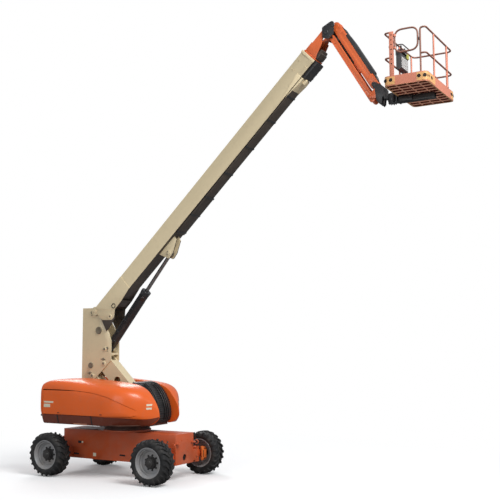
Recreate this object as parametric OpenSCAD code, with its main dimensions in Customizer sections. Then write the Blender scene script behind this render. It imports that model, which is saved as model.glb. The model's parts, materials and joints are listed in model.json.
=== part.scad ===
// Telescopic boom lift with an articulating jib and a two-person platform.
// Millimetres. X points the way the boom leans, Y to the machine's left, Z up.
// The machine is drawn about its slew axis at ground level and then shifted along X
// so that the origin is under the middle of the whole outline.

/* [Chassis and wheels] */
// Distance between the axle centres
wheelbase = 3050; // [2600:50:3600]
// Width over the tyres
overall_w = 2490; // [2300:10:2700]
// Tyre outer diameter
tyre_d = 1030; // [950:10:1100]
// Tyre section width
tyre_w = 390; // [340:10:420]
// Rim diameter at the tyre bead
rim_d = 660; // [560:10:700]
// Width of the chassis box
chassis_w = 744; // [640:4:800]
// Overhang of the chassis box past each axle
chassis_over = 165; // [120:5:260]
// Height of the chassis underside
chassis_z0 = 365; // [300:5:400]
// Height of the chassis top plate
chassis_z1 = 1062; // [1030:2:1100]
// Chassis plate thickness
chassis_t = 25; // [16:1:40]

/* [Turntable] */
// Underside of the hoods
hood_z0 = 1250; // [1240:5:1290]
// Width over the two hoods
hoods_w = 2400; // [2200:10:2480]
// Clear slot between the two hoods
slot_w = 800; // [760:10:900]
// Reach of the hoods behind the slew axis
tail_x = 1775; // [1650:5:1900]
// Reach of the hoods in front of the slew axis
nose_x = 1250; // [1200:5:1400]
// Hood wall
hood_t = 14; // [8:1:20]
// Gap round each hood door
door_gap = 10; // [8:1:14]
// Slew ring diameter
slew_d = 1100; // [900:10:1200]

/* [Tower] */
// Width over the upright's side plates
upright_w = 340; // [300:10:360]
// Upright plate thickness
upright_t = 28; // [20:1:32]
// Length of each tower link between its pins
link_l = 1310; // [1200:5:1400]
// Angle of the tower links above the horizontal
link_a = 43.4; // [40:0.1:50]
// Tower pin diameter
tower_pin_d = 80; // [60:2:90]

/* [Boom] */
// Angle of the boom above the horizontal
boom_a = 44; // [20:1:60]
// Length of the base boom in front of its pivot
base_l = 8210; // [7200:10:9000]
// Height of the base boom
base_h = 400; // [380:5:440]
// Width of the base boom
base_w = 400; // [380:5:440]
// Wall of each boom section
boom_t = 8; // [6:1:10]
// Step in size from one boom section to the next, each side
boom_step = 20; // [18:1:24]
// How far the middle section stands out of the base
mid_out = 40; // [30:5:200]
// How far the fly section's tube stands out of the middle one
fly_out = 30; // [20:5:200]
// Lift cylinder barrel diameter
barrel_d = 220; // [180:5:230]
// Lift cylinder rod diameter
lift_rod_d = 90; // [70:5:100]

/* [Jib and platform] */
// Angle of the jib below the horizontal
jib_a = 59; // [50:1:65]
// Length of the jib between its pins
jib_l = 1700; // [1500:10:1900]
// Platform length across the machine
plat_l = 1830; // [1500:10:2440]
// Platform depth
plat_w = 915; // [760:5:1000]
// Rail height above the platform deck
rail_h = 1060; // [1000:10:1120]
// Toe board height
toe_h = 150; // [100:5:200]
// Rail tube diameter
rail_d = 38; // [30:1:44]

/* [Hidden] */
$fn = 48;
// Clearance of a pin in its bore, and of pieces that rest on each other
pin_gap = 0.5;
seat_gap = 0.3;
// Side clearance of pieces that move past each other
side_gap = 6;

// --- wheels -----------------------------------------------------------------
axle_x = wheelbase / 2;
axle_z = tyre_d / 2;
track_y = (overall_w - tyre_w) / 2;
tyre_in = track_y - tyre_w / 2;
rim_t = 16;
disc_y = track_y + 20;
hub_r = rim_d * 0.26;
hub_out = track_y + tyre_w / 2 - 30;
spindle_r = 78;
kingpin_y = tyre_in - 120;
kingpin_r = 38;
knuckle_h = 270;
arm_l = 210;
tie_r = 16;
tie_z = axle_z - 58;
chassis_x = axle_x + chassis_over;
axle_sec = 240;
// Tie-down lugs: reach past the end plate, place and hole
lug_out = 45;
lug_y = chassis_w / 2 - 60;
lug_z = chassis_z0 + 470;
lug_t = 30;
lug_r = 50;
lug_hole_r = 20;

// --- turntable --------------------------------------------------------------
slew_z = chassis_z1 + 40;
deck_z0 = slew_z + 108;
deck_z1 = hood_z0 + 35;
slot_y = slot_w / 2;
hood_y = hoods_w / 2;
hood_top = hood_z0 + 1070;
deck_x0 = -tail_x + 140;
deck_x1 = nose_x - 330;
bridge_x = -tail_x + 200;
bridge_w = 240;
bridge_h = 38;
door_z0 = hood_z0 + 225;
door_z1 = hood_z0 + 815;
hinge_y = hood_y - 22;
hinge_z = door_z1 + 4;
hinge_r = 9;
hinge_l = 50;
hinge_x = [-1450, -650];

// --- tower ------------------------------------------------------------------
upright_y = upright_w / 2;
upright_in = upright_y - upright_t;
upright_z0 = 2230;
upright_top = 4055;
upright_back = -1325;
// Pins, as [x, z]
boom_pin = [-896, 3974];
lift_pin = [-600, 3030];
link_pin = [-628, 2675];
timing_pin = [-990, 2370];
link_dir = [cos(link_a), -sin(link_a)];
link_foot = link_pin + link_l * link_dir;
timing_foot = timing_pin + link_l * link_dir;
link_y = upright_in - side_gap;
link_h = 400;
// Lightening hole of the lower link, as [along it, square to it], and its radius
link_hole = [580, -27];
link_hole_r = 105;
timing_h = 140;
cheek_y = upright_in;

// --- boom, in the boom's own frame: s along it from the pivot, n square to it --
base_top = 60;
base_bot = base_top - base_h;
mid_top = base_top - boom_step;
mid_bot = base_bot + boom_step;
mid_w = base_w - 2 * boom_step;
fly_top = mid_top - boom_step;
fly_bot = mid_bot + boom_step;
fly_w = mid_w - 2 * boom_step;
mid_l = base_l + mid_out;
fly_tube_l = mid_l + fly_out;
level_s = mid_l + 580;
level_n = -100;
lift_eye = [2499, -515];
ear_t = 20;
// Plates of the boom's foot, and how far its top and bottom plates start from the pivot
foot_t = 12;
foot_top_s = 220;
foot_bot_s = 450;
// Tray for the hoses under the base boom: ends, step in depth, half width and wall
tray_s = [3000, 4150, 7440];
tray_deep = 48;
tray_thin = 28;
tray_y = 165;
tray_t = 6;
// Fly nose: where its lower edge starts to rise and where it meets the levelling pin
nose_low = [mid_l - 3, fly_bot - 12];
nose_high = [level_s - 120, level_n - 15];
function along(p) = boom_pin + [p[0] * cos(boom_a) - p[1] * sin(boom_a),
                                p[0] * sin(boom_a) + p[1] * cos(boom_a)];
level_pin = along([level_s, level_n]);

// --- jib ---------------------------------------------------------------------
jib_dir = [cos(jib_a), -sin(jib_a)];
jib_pin = level_pin + [202, 128];
// From the upper jib pin to the lower one, at both ends
jib_drop = [-88, -252];
jib_low_pin = jib_pin + jib_drop;
head_pin = jib_pin + jib_l * jib_dir;
head_low_pin = head_pin + jib_drop;
jib_h = 196;
jib_w = 170;
tongue_w = 84;
fork_l = 138;
jib_link_h = 124;
jib_link_t = 28;
jib_link_y = jib_w / 2 + side_gap;
jib_pin_d = 50;
head_cheek_t = 12;
head_y = jib_link_y + jib_link_t + side_gap + head_cheek_t;
// Overhang of the lower links past their lower pin
link_over = 90;

// --- platform ------------------------------------------------------------------
turn_x = head_pin[0] + 387;
turn_r = 100;
turn_z0 = head_low_pin[1] - 165;
turn_z1 = turn_z0 + 140;
clamp_t = 34;
plat_gap = 140;
plat_x0 = turn_x + plat_gap;
plat_x1 = plat_x0 + plat_w;
plat_y = plat_l / 2;
plat_z0 = turn_z0 + 75;
beam_h = 120;
// Corner radius and wall of the toe board
plat_r = 80;
toe_t = 6;
plat_z1 = plat_z0 + 52;
rail_z = plat_z1 + rail_h;
mid_rail_z = plat_z1 + rail_h / 2;
rail_r = rail_d / 2;
gate_x0 = plat_x0 + 235;
gate_x1 = plat_x1 - 175;
anchor_y = 560;
gate_y = -plat_y + rail_r + 2;
gate_a = gate_x0 - 15 + side_gap + rail_r;
gate_b = gate_x1 + 15 - side_gap - rail_r;
gate_rings = [plat_z1 + 700, plat_z1 + 960];

// --- lift cylinder ---------------------------------------------------------------
lift_end = along(lift_eye);
lift_v = lift_end - lift_pin;
lift_len = norm(lift_v);
lift_a = atan2(lift_v[1], lift_v[0]);
barrel_l = 1820;
eye_r = 64;

// Shift that puts the origin under the middle of the outline
frame_x = -(plat_x1 - (axle_x + tyre_d / 2)) / 2;

// --- helpers ----------------------------------------------------------------------
module place() translate([frame_x, 0, 0]) children();

module both_sides() {
    children();
    mirror([0, 1, 0]) children();
}

// Cylinder along Y through the point p = [x, z]
module bar_y(p, r, y0, y1)
    translate([p[0], y1, p[1]]) rotate([90, 0, 0]) cylinder(r = r, h = y1 - y0);

// A side-view outline made into a plate from y0 to y1
module plate(y0, y1)
    translate([0, y1, 0]) rotate([90, 0, 0]) linear_extrude(y1 - y0) children();

// Box between two corners
module block(a, b) translate(a) cube(b - a);

// Children drawn along X from p, turned up by a degrees
module from_point(p, a) translate([p[0], 0, p[1]]) rotate([0, -a, 0]) children();

module in_boom() from_point(boom_pin, boom_a) children();

// Bar outline with round ends between two points in side view
module link_outline(l, h) {
    translate([0, -h / 2]) square([l, h]);
    circle(d = h);
    translate([l, 0]) circle(d = h);
}

// --- chassis -------------------------------------------------------------------------
module chassis_frame() color("orangered") {
    y = chassis_w / 2;
    difference() {
        union() {
            block([-chassis_x, -y, chassis_z0], [chassis_x, y, chassis_z1]);
            translate([0, 0, chassis_z1 - 1]) cylinder(d = slew_d + 60, h = slew_z - chassis_z1 + 1);
            // tie-down lugs on the end plates
            for (e = [-1, 1], s = [-1, 1])
                translate([e * (chassis_x + lug_out), s * lug_y, lug_z]) {
                    cylinder(r = lug_r, h = lug_t);
                    translate([-e * lug_out, 0, lug_t / 2])
                        cube([2 * lug_out, 2 * lug_r, lug_t], center = true);
                }
        }
        // hollow inside, open underneath between the end plates
        for (s = [-1, 1])
            block([s > 0 ? slew_d / 2 : -chassis_x + chassis_t, -y + chassis_t, chassis_z0 - 1],
                  [s > 0 ? chassis_x - chassis_t : -slew_d / 2, y - chassis_t, chassis_z1 - chassis_t]);
        block([-slew_d / 2 + chassis_t, -y + chassis_t, chassis_z0 + chassis_t],
              [slew_d / 2 - chassis_t, y - chassis_t, chassis_z1 - chassis_t]);
        // seats of the two axles
        for (e = [-1, 1])
            block([e * axle_x - axle_sec / 2, -y - 1, axle_z - axle_sec / 2],
                  [e * axle_x + axle_sec / 2, y + 1, axle_z + axle_sec / 2]);
        // notch that lets the tie rod swing
        block([axle_x - arm_l - 50, -y - 1, chassis_z0 - 1], [axle_x - arm_l + 75, y + 1, tie_z + 45]);
        // round hole low in each end plate, and the tie-down bores
        for (e = [-1, 1]) {
            translate([e * (chassis_x - 50), 0, chassis_z0 + 150]) rotate([0, 90, 0])
                cylinder(r = 76, h = 200, center = true);
            for (s = [-1, 1])
                translate([e * (chassis_x + lug_out), s * lug_y, lug_z - 1])
                    cylinder(r = lug_hole_r, h = lug_t + 2);
        }
    }
}

module axle(front) color("orangered") {
    end_y = front ? kingpin_y - 85 : tyre_in - 40;
    box_y = front ? end_y - 60 : end_y;
    translate([front ? axle_x : -axle_x, 0, axle_z]) {
        difference() {
            block([-axle_sec / 2, -box_y, -axle_sec / 2], [axle_sec / 2, box_y, axle_sec / 2]);
            block([-axle_sec / 2 + 20, -box_y + 20, -axle_sec / 2 + 20],
                  [axle_sec / 2 - 20, box_y - 20, axle_sec / 2 - 20]);
        }
        both_sides() {
            if (front) {
                // yoke that holds the kingpin above and below the knuckle
                block([-70, box_y - 1, -knuckle_h / 2 - 42], [70, end_y, knuckle_h / 2 + 42]);
                for (s = [-1, 1])
                    translate([0, 0, s * (knuckle_h / 2 + 24) - 18]) {
                        translate([0, kingpin_y, 0]) cylinder(r = 78, h = 36);
                        block([-78, end_y - 1, 0], [78, kingpin_y, 36]);
                    }
                translate([0, kingpin_y, -knuckle_h / 2 - 55]) cylinder(r = kingpin_r, h = knuckle_h + 110);
            } else {
                rotate([-90, 0, 0]) translate([0, 0, end_y - 1]) cylinder(r = 110, h = 41);
                rotate([-90, 0, 0]) translate([0, 0, end_y]) cylinder(r = spindle_r, h = disc_y + 5 - end_y);
            }
        }
    }
}

module knuckle(s) color("orangered") translate([axle_x, 0, axle_z]) scale([1, s, 1]) {
    difference() {
        union() {
            translate([0, kingpin_y, -knuckle_h / 2]) cylinder(r = 74, h = knuckle_h);
            rotate([-90, 0, 0]) translate([0, 0, kingpin_y]) cylinder(r = 95, h = tyre_in - kingpin_y);
            rotate([-90, 0, 0]) translate([0, 0, tyre_in - 10])
                cylinder(r = spindle_r, h = disc_y + 5 - tyre_in + 10);
            // steering arm to the rear
            block([-arm_l, kingpin_y - 24, -40], [0, kingpin_y + 24, -8]);
            translate([-arm_l, kingpin_y, -40]) cylinder(r = 38, h = 32);
            translate([-arm_l, kingpin_y, -76]) cylinder(r = 18, h = 40);
        }
        translate([0, kingpin_y, -knuckle_h]) cylinder(r = kingpin_r + pin_gap, h = 2 * knuckle_h);
    }
}

module tie_rod() color("gray") translate([axle_x - arm_l, 0, tie_z]) {
    difference() {
        union() {
            rotate([90, 0, 0]) cylinder(r = tie_r, h = 2 * kingpin_y - 60, center = true);
            both_sides() translate([0, kingpin_y, -14]) cylinder(r = 36, h = 28);
        }
        both_sides() translate([0, kingpin_y, -30]) cylinder(r = 18 + pin_gap, h = 60);
    }
}

// Wheel pieces, turned about Y. s is +1 on the left and -1 on the right.
module wheel_at(x, s) translate([x, 0, axle_z]) scale([1, s, 1]) rotate([-90, 0, 0]) children();

module tyre(x, s) color("black") wheel_at(x, s) translate([0, 0, track_y])
    rotate_extrude($fn = 96) polygon([
        [rim_d / 2, -tyre_w / 2 + 18], [rim_d / 2 + 60, -tyre_w / 2], [tyre_d / 2 - 45, -tyre_w / 2],
        [tyre_d / 2, -tyre_w / 2 + 40], [tyre_d / 2, tyre_w / 2 - 40], [tyre_d / 2 - 45, tyre_w / 2],
        [rim_d / 2 + 60, tyre_w / 2], [rim_d / 2, tyre_w / 2 - 18]]);

module rim(x, s) color("lightgray") wheel_at(x, s) {
    r = rim_d / 2;
    w = tyre_w / 2;
    difference() {
        union() {
            translate([0, 0, track_y]) rotate_extrude($fn = 72) polygon([
                [r - rim_t, -w + 20], [r - rim_t, w - 20], [r, w - 18.5], [r, -w + 18.5]]);
            translate([0, 0, disc_y - 9]) cylinder(r = r - rim_t + 1, h = 18, $fn = 72);
        }
        // centre hole over the hub pilot
        translate([0, 0, disc_y - 20]) cylinder(r = hub_r - 40, h = 40);
    }
}

module hub(x, s) color("dimgray") wheel_at(x, s) difference() {
    union() {
        translate([0, 0, disc_y + 9]) cylinder(r = hub_r, h = 26);
        translate([0, 0, disc_y - 28]) cylinder(r = hub_r - 40, h = hub_out - 25 - disc_y + 28);
        translate([0, 0, hub_out - 26]) cylinder(r = hub_r * 0.55, h = 26);
        for (i = [0:8]) rotate([0, 0, i * 40]) translate([hub_r - 20, 0, disc_y + 34])
            cylinder(r = 15, h = 16, $fn = 6);
    }
    // bearing bore over the spindle
    translate([0, 0, disc_y - 40]) cylinder(r = spindle_r + pin_gap, h = 50);
}

module slew_ring() color("dimgray") translate([0, 0, slew_z])
    difference() {
        union() {
            cylinder(d = slew_d, h = 50, $fn = 96);
            translate([0, 0, 50]) cylinder(d = slew_d - 60, h = 58 - seat_gap, $fn = 96);
        }
        translate([0, 0, -1]) cylinder(d = slew_d - 260, h = 120, $fn = 96);
    }

// --- turntable ----------------------------------------------------------------------------
// Place between the slot and the hood's outer side, as a share
function across(k) = slot_y + (hood_y - slot_y) * k;
// Side, plan and cross-section outlines of one hood, each point as [a, b]
hood_side = [[-tail_x + 100, hood_z0], [-tail_x + 30, hood_z0 + 170], [-tail_x, hood_z0 + 225],
             [-tail_x + 6, hood_z0 + 650], [-tail_x + 30, hood_z0 + 900], [-tail_x + 80, hood_z0 + 990],
             [-tail_x + 250, hood_z0 + 1045], [-tail_x + 775, hood_top], [-nose_x + 1000, hood_z0 + 1020],
             [nose_x - 810, hood_z0 + 975], [nose_x - 510, hood_z0 + 920], [nose_x - 290, hood_z0 + 780],
             [nose_x - 140, hood_z0 + 600], [nose_x - 40, hood_z0 + 430], [nose_x, hood_z0 + 280],
             [nose_x, hood_z0 + 150], [nose_x - 55, hood_z0]];
hood_plan = [[-tail_x, slot_y], [-tail_x, across(0.87)], [-tail_x + 25, across(0.96)], [-tail_x + 80, hood_y],
             [nose_x - 1050, hood_y], [nose_x - 850, across(0.97)], [nose_x - 650, across(0.89)],
             [nose_x - 500, across(0.79)], [nose_x - 350, across(0.63)], [nose_x - 250, across(0.45)],
             [nose_x - 150, across(0.27)], [nose_x - 70, across(0.13)], [nose_x - 20, across(0.04)],
             [nose_x, slot_y]];
hood_section = [[slot_y, hood_z0], [hood_y - 80, hood_z0], [hood_y - 10, hood_z0 + 210],
    [hood_y, hood_z0 + 450],
                [hood_y - 5, hood_z0 + 700], [hood_y - 40, hood_z0 + 830], [hood_y - 120, hood_z0 + 940],
                [across(0.69), hood_z0 + 1010], [across(0.5), hood_z0 + 1050], [slot_y, hood_top]];
door_side = [[-tail_x + 115, door_z0], [nose_x - 390, door_z0], [nose_x - 270, door_z0 + 60],
             [nose_x - 240, door_z0 + 110], [nose_x - 304, door_z0 + 205], [nose_x - 634, door_z0 + 420],
             [0, door_z0 + 525], [-520, door_z1], [-tail_x + 115, door_z1]];

// Outline pulled in by t on every side, towards its middle
function middle(p, k) = (max([for (q = p) q[k]]) + min([for (q = p) q[k]])) / 2;
function half(p, k) = (max([for (q = p) q[k]]) - min([for (q = p) q[k]])) / 2;
function inset(p, t) = [for (q = p) [for (k = [0, 1])
    middle(p, k) + (q[k] - middle(p, k)) * (1 - t / half(p, k))]];

// Solid block of one hood, pulled in by t
module hood_block(t) intersection() {
    plate(0, hood_y) polygon(inset(hood_side, t));
    linear_extrude(hood_top + 100) polygon(inset(hood_plan, t));
    rotate([90, 0, 90]) translate([0, 0, -tail_x - 10]) linear_extrude(tail_x + nose_x + 20)
        polygon(inset(hood_section, t));
}

module hood_shell() difference() {
    hood_block(0);
    hood_block(hood_t);
    // open underneath, where the deck carries it
    translate([0, 0, hood_z0 - 1]) linear_extrude(hood_t + 2) wing_plan(10);
    block([deck_x0 - seat_gap, slot_y - 1, hood_z0 - 1],
        [deck_x1 + seat_gap, slot_y + hood_t + 1, deck_z1 + seat_gap]);
    // passage of the counterweight's crossbar
    block([bridge_x - 5, slot_y - 1, deck_z1],
        [bridge_x + bridge_w + 5, slot_y + hood_t + 1, deck_z1 + bridge_h + 5]);
}

// Plan outline of the deck's side wing, grown by g
module wing_plan(g) polygon([
    [deck_x0 - g, slot_y - 20], [deck_x0 - g, hood_y - 130 + g], [deck_x1 - 370 + g / 2, hood_y - 130 + g],
    [deck_x1 + g, across(0.48) + g], [deck_x1 + g, slot_y - 20]]);

module door_prism(grow) plate(hood_y - 480, hood_y + 60) polygon(inset(door_side, -grow));

// Cylinder along X on the door's hinge line
module hinge_bar(x, l, r) translate([x, hinge_y, hinge_z]) rotate([0, 90, 0]) cylinder(r = r, h = l);

module hood(s) color("orangered") scale([1, s, 1]) {
    difference() {
        hood_shell();
        door_prism(0);
    }
    for (x = hinge_x) {
        hinge_bar(x - hinge_l, hinge_l, hinge_r);
        hinge_bar(x - 1, hinge_l, hinge_r / 2);
        block([x - hinge_l, hinge_y - 28, hinge_z], [x, hinge_y + 5, hinge_z + 24]);
    }
}

module door(s) color("orangered") scale([1, s, 1]) difference() {
    union() {
        intersection() {
            hood_shell();
            door_prism(-door_gap);
        }
        for (x = hinge_x) {
            hinge_bar(x + seat_gap, hinge_l, hinge_r);
            block([x + 2, hinge_y - 4, hinge_z - 50], [x + hinge_l - 2, hinge_y + 5, hinge_z]);
        }
    }
    for (x = hinge_x) hinge_bar(x - 10, hinge_l + 30, hinge_r / 2 + pin_gap);
}

module turntable_deck() color("dimgray") difference() {
    union() {
        translate([0, 0, deck_z0]) cylinder(d = slew_d, h = 20, $fn = 96);
        block([deck_x0 - 80, -slot_y + 10, deck_z0 + 10], [deck_x1, slot_y - 10, deck_z1]);
        both_sides() translate([0, 0, hood_z0 + hood_t + 2])
            linear_extrude(deck_z1 - hood_z0 - hood_t - 2) wing_plan(0);
        both_sides() plate(cheek_y, cheek_y + upright_t) polygon([
            [timing_foot[0] - 235, deck_z1 - 1], [timing_foot[0] - 120, timing_foot[1] + 40],
            [link_foot[0] - 110, link_foot[1] + 95], [link_foot[0] + 110, link_foot[1] + 95],
            [link_foot[0] + 190, link_foot[1] - 60], [link_foot[0] + 330, deck_z1 - 1]]);
        block([link_foot[0] + link_h / 2 + 12, -cheek_y - 1, deck_z1 - 1],
              [link_foot[0] + link_h / 2 + 40, cheek_y + 1, link_foot[1] - 240]);
        both_sides() for (p = [link_foot, timing_foot])
            bar_y(p, tower_pin_d / 2 + 22, cheek_y + upright_t - 1, cheek_y + upright_t + 14);
        for (p = [link_foot, timing_foot]) bar_y(p, tower_pin_d / 2, -cheek_y - 2, cheek_y + 2);
    }
    translate([0, 0, deck_z0 - 1]) cylinder(d = 260, h = deck_z1 - deck_z0 + 20);
}

module counterweight() color("orangered") {
    both_sides() block([deck_x0, slot_y + 40, deck_z1 + seat_gap],
        [deck_x0 + 530, hood_y - 110, hood_z0 + 830]);
    // low crossbar over the deck that joins the two halves
    block([bridge_x, -slot_y - 41, deck_z1 + seat_gap],
        [bridge_x + bridge_w, slot_y + 41, deck_z1 + bridge_h]);
}

module engine() color("gray")
    block([-750, slot_y + 90, deck_z1 + seat_gap], [200, hood_y - 180, deck_z1 + 580]);

// --- tower ---------------------------------------------------------------------------------------
// A tower link drawn from its upper pin down to its foot
module tower_link(p, h, w, t) from_point(p, -link_a) difference() {
    plate(-w, w) link_outline(link_l, h);
    plate(-w + t, w - t) translate([h / 2 + 10, -h / 2 + t]) square([link_l - h - 20, h - 2 * t]);
    for (x = [0, link_l]) {
        bar_y([x, 0], tower_pin_d / 2 + pin_gap, -w - 1, w + 1);
    }
    // the side plates are fork ears at both ends
    for (x = [-h, link_l - 10 - tower_pin_d])
        block([x, -w + 3 * t, -h], [x + h + tower_pin_d + 10, w - 3 * t, h]);
}

module lift_link() color("tan") difference() {
    tower_link(link_pin, link_h, link_y, 22);
    from_point(link_pin, -link_a) bar_y(link_hole, link_hole_r, -link_y - 5, link_y + 5);
}

module timing_link() color("tan") tower_link(timing_pin, timing_h, link_y, 18);

module upright_outline() polygon([
    [upright_back, upright_z0], [-971, upright_z0], [-410, 2753], [-412, 3230],
    [-483, 3435], [-685, 3756], [-740, 3900], [-870, upright_top], [upright_back, upright_top]]);

module upright() color("tan") union() {
    boss_r = tower_pin_d / 2 + 24;
    pin_end = upright_y + 22;
    both_sides() plate(upright_in, upright_y) upright_outline();
    // back plate, the web behind the boom's foot and the cross plate under the cylinder
    block([upright_back, -upright_in - 1, upright_z0],
        [upright_back + 22, upright_in + 1, upright_top - 150]);
    block([upright_back + 1, -upright_in - 1, 3180], [-800, upright_in + 1, 3202]);
    block([-470, -upright_in - 1, 2884], [-418, upright_in + 1, 2936]);
    // pins and their bosses
    for (p = [link_pin, timing_pin, lift_pin]) bar_y(p, tower_pin_d / 2, -pin_end, pin_end);
    bar_y(boom_pin, tower_pin_d / 2, -base_w / 2 - foot_t - 14, base_w / 2 + foot_t + 14);
    both_sides() for (p = [boom_pin, link_pin, timing_pin, lift_pin])
        bar_y(p, boss_r, upright_y - 1, upright_y + 12);
    // trunnion cheeks of the lift cylinder
    both_sides() bar_y(lift_pin, 82, 75, upright_in + 1);
    // round plugs
    both_sides() bar_y([-797, 3495], 88, upright_y - 8, upright_y + 20);
    both_sides() bar_y([-1036, 2623], 70, upright_y - 8, upright_y + 20);
}

module lift_barrel() color("dimgray") from_point(lift_pin, lift_a) difference() {
    union() {
        translate([100, 0, 0]) rotate([0, 90, 0]) cylinder(d = barrel_d, h = barrel_l - 160);
        block([20, -62, -70], [110, 62, 70]);
        translate([barrel_l - 62, 0, 0]) rotate([0, 90, 0]) cylinder(d = barrel_d + 26, h = 62);
        rotate([90, 0, 0]) cylinder(r = 95, h = 130, center = true);
    }
    translate([130, 0, 0]) rotate([0, 90, 0]) cylinder(d = lift_rod_d + 2 * seat_gap, h = barrel_l);
    translate([130, 0, 0]) rotate([0, 90, 0]) cylinder(d = barrel_d - 30, h = barrel_l - 130 - 62);
    rotate([90, 0, 0]) cylinder(r = tower_pin_d / 2 + pin_gap, h = 200, center = true);
}

module lift_rod() color("silver") from_point(lift_pin, lift_a) difference() {
    union() {
        translate([1040, 0, 0]) rotate([0, 90, 0]) cylinder(d = lift_rod_d, h = lift_len - 1040 - 40);
        translate([1022, 0, 0]) rotate([0, 90, 0]) cylinder(d = barrel_d - 32, h = 70);
        translate([lift_len, 0, 0]) rotate([90, 0, 0]) cylinder(r = eye_r, h = 100, center = true);
    }
    translate([lift_len, 0, 0]) rotate([90, 0, 0]) cylinder(r = tower_pin_d / 2 + 1, h = 200, center = true);
}

// --- boom -----------------------------------------------------------------------------------------------
module tube(s0, s1, top, bot, w) difference() {
    block([s0, -w / 2, bot], [s1, w / 2, top]);
    block([s0 - 1, -w / 2 + boom_t, bot + boom_t], [s1 + 1, w / 2 - boom_t, top - boom_t]);
}

module boom_base() color("tan") in_boom() difference() {
    union() {
        tube(foot_bot_s, base_l, base_top, base_bot, base_w);
        block([foot_top_s, -base_w / 2, base_top - boom_t], [foot_bot_s + 1, base_w / 2, base_top]);
        // side plates of the foot, outside the upright, and their bosses
        both_sides() plate(base_w / 2 - 1, base_w / 2 + foot_t) {
            polygon([[0, base_top], [0, -110], [14, -325], [225, -530], [330, -530], [372, -500],
                     [480, -405], [760, -400], [1150, base_bot], [1150, base_top]]);
            circle(r = 110);
        }
        both_sides() bar_y([0, 0], 78, upright_y + 13, base_w / 2);
        // belly plate that joins the side plates under the tube
        block([540, -base_w / 2 - 1, base_bot - 44], [760, base_w / 2 + 1, base_bot - 32]);
        // wear pads that guide the middle section
        for (s = [[base_top - boom_step + seat_gap, base_top - 1], [base_bot + 1, mid_bot - seat_gap]])
            block([base_l - 160, -mid_w / 2 + 40, s[0]], [base_l - 10, mid_w / 2 - 40, s[1]]);
        both_sides() block([base_l - 160, mid_w / 2 + seat_gap, base_bot + 60],
                           [base_l - 10, base_w / 2 - 1, base_top - 60]);
        // front collar
        difference() {
            block([base_l - 60, -base_w / 2 - 12, base_bot - 12], [base_l, base_w / 2 + 12, base_top + 12]);
            block([base_l - 61, -base_w / 2 + 1, base_bot + 1], [base_l + 1, base_w / 2 - 1, base_top - 1]);
        }
        // lugs of the lift cylinder with their stub pins
        both_sides() plate(72, 100) polygon([[2290, base_bot + 1], [2900, base_bot + 1], [2870, -455],
                                             [2590, -600], [2440, -622], [2400, -600]]);
        both_sides() bar_y(lift_eye, tower_pin_d / 2, 56, 116);
        // doubler plates along the lower corners of the tip
        both_sides() plate(base_w / 2 - 1, base_w / 2 + 8)
            polygon([[base_l - 867, base_bot], [base_l - 760, base_bot + 120], [base_l - 60, base_bot + 120],
                     [base_l - 60, base_bot]]);
    }
    rotate([90, 0, 0]) cylinder(r = tower_pin_d / 2 + pin_gap, h = 2000, center = true);
}

module boom_mid() color("orangered") in_boom() {
    tube(700, mid_l, mid_top, mid_bot, mid_w);
    // rear wear pads
    for (s = [[mid_top - 1, base_top - boom_t - seat_gap], [base_bot + boom_t + seat_gap, mid_bot + 1]])
        block([720, -mid_w / 2 + 40, s[0]], [870, mid_w / 2 - 40, s[1]]);
    // front pads that guide the fly section
    for (s = [[fly_top + seat_gap, mid_top - 1], [mid_bot + 1, fly_bot - seat_gap]])
        block([mid_l - 150, -fly_w / 2 + 40, s[0]], [mid_l - 10, fly_w / 2 - 40, s[1]]);
}

module boom_fly() color("orangered") in_boom() {
    tube(950, fly_tube_l, fly_top, fly_bot, fly_w);
    // nose of two side plates with a top plate, and the levelling pin
    both_sides() plate(fly_w / 2 - ear_t, fly_w / 2) polygon([
        [fly_tube_l - 200, fly_top], [level_s - 20, fly_top], [level_s + 75, level_n + 60],
        [level_s + 75, level_n - 50], [level_s - 30, level_n - 95], nose_high, nose_low,
        [fly_tube_l - 200, fly_bot]]);
    block([fly_tube_l - 1, -fly_w / 2 + 1, fly_top - ear_t], [level_s - 190, fly_w / 2 - 1, fly_top]);
    bar_y([level_s, level_n], jib_pin_d / 2, -fly_w / 2 - 14, fly_w / 2 + 14);
}

// Outline of the hose tray, drawn in by t
module tray_outline(t) polygon([
    [tray_s[0] + t, base_bot - seat_gap - t], [tray_s[0] + t, base_bot - tray_deep + t],
    [tray_s[1] - t, base_bot - tray_deep + t], [tray_s[1] - t, base_bot - tray_thin + t],
    [tray_s[2] - t, base_bot - tray_thin + t], [tray_s[2] - t, base_bot - seat_gap - t]]);

module hose_tray() color("dimgray") in_boom() difference() {
    plate(-tray_y, tray_y) tray_outline(0);
    plate(-tray_y + tray_t, tray_y - tray_t) tray_outline(tray_t);
}

module tip_guard() color("dimgray") in_boom() difference() {
    y = base_w / 2 - 40;
    low = base_bot - 72;
    block([base_l - 450, -y, low], [base_l + 5, y, base_bot - 12 - seat_gap]);
    block([base_l - 444, -y + 6, low + 6], [base_l + 6, y - 6, base_bot - 20]);
}

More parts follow.
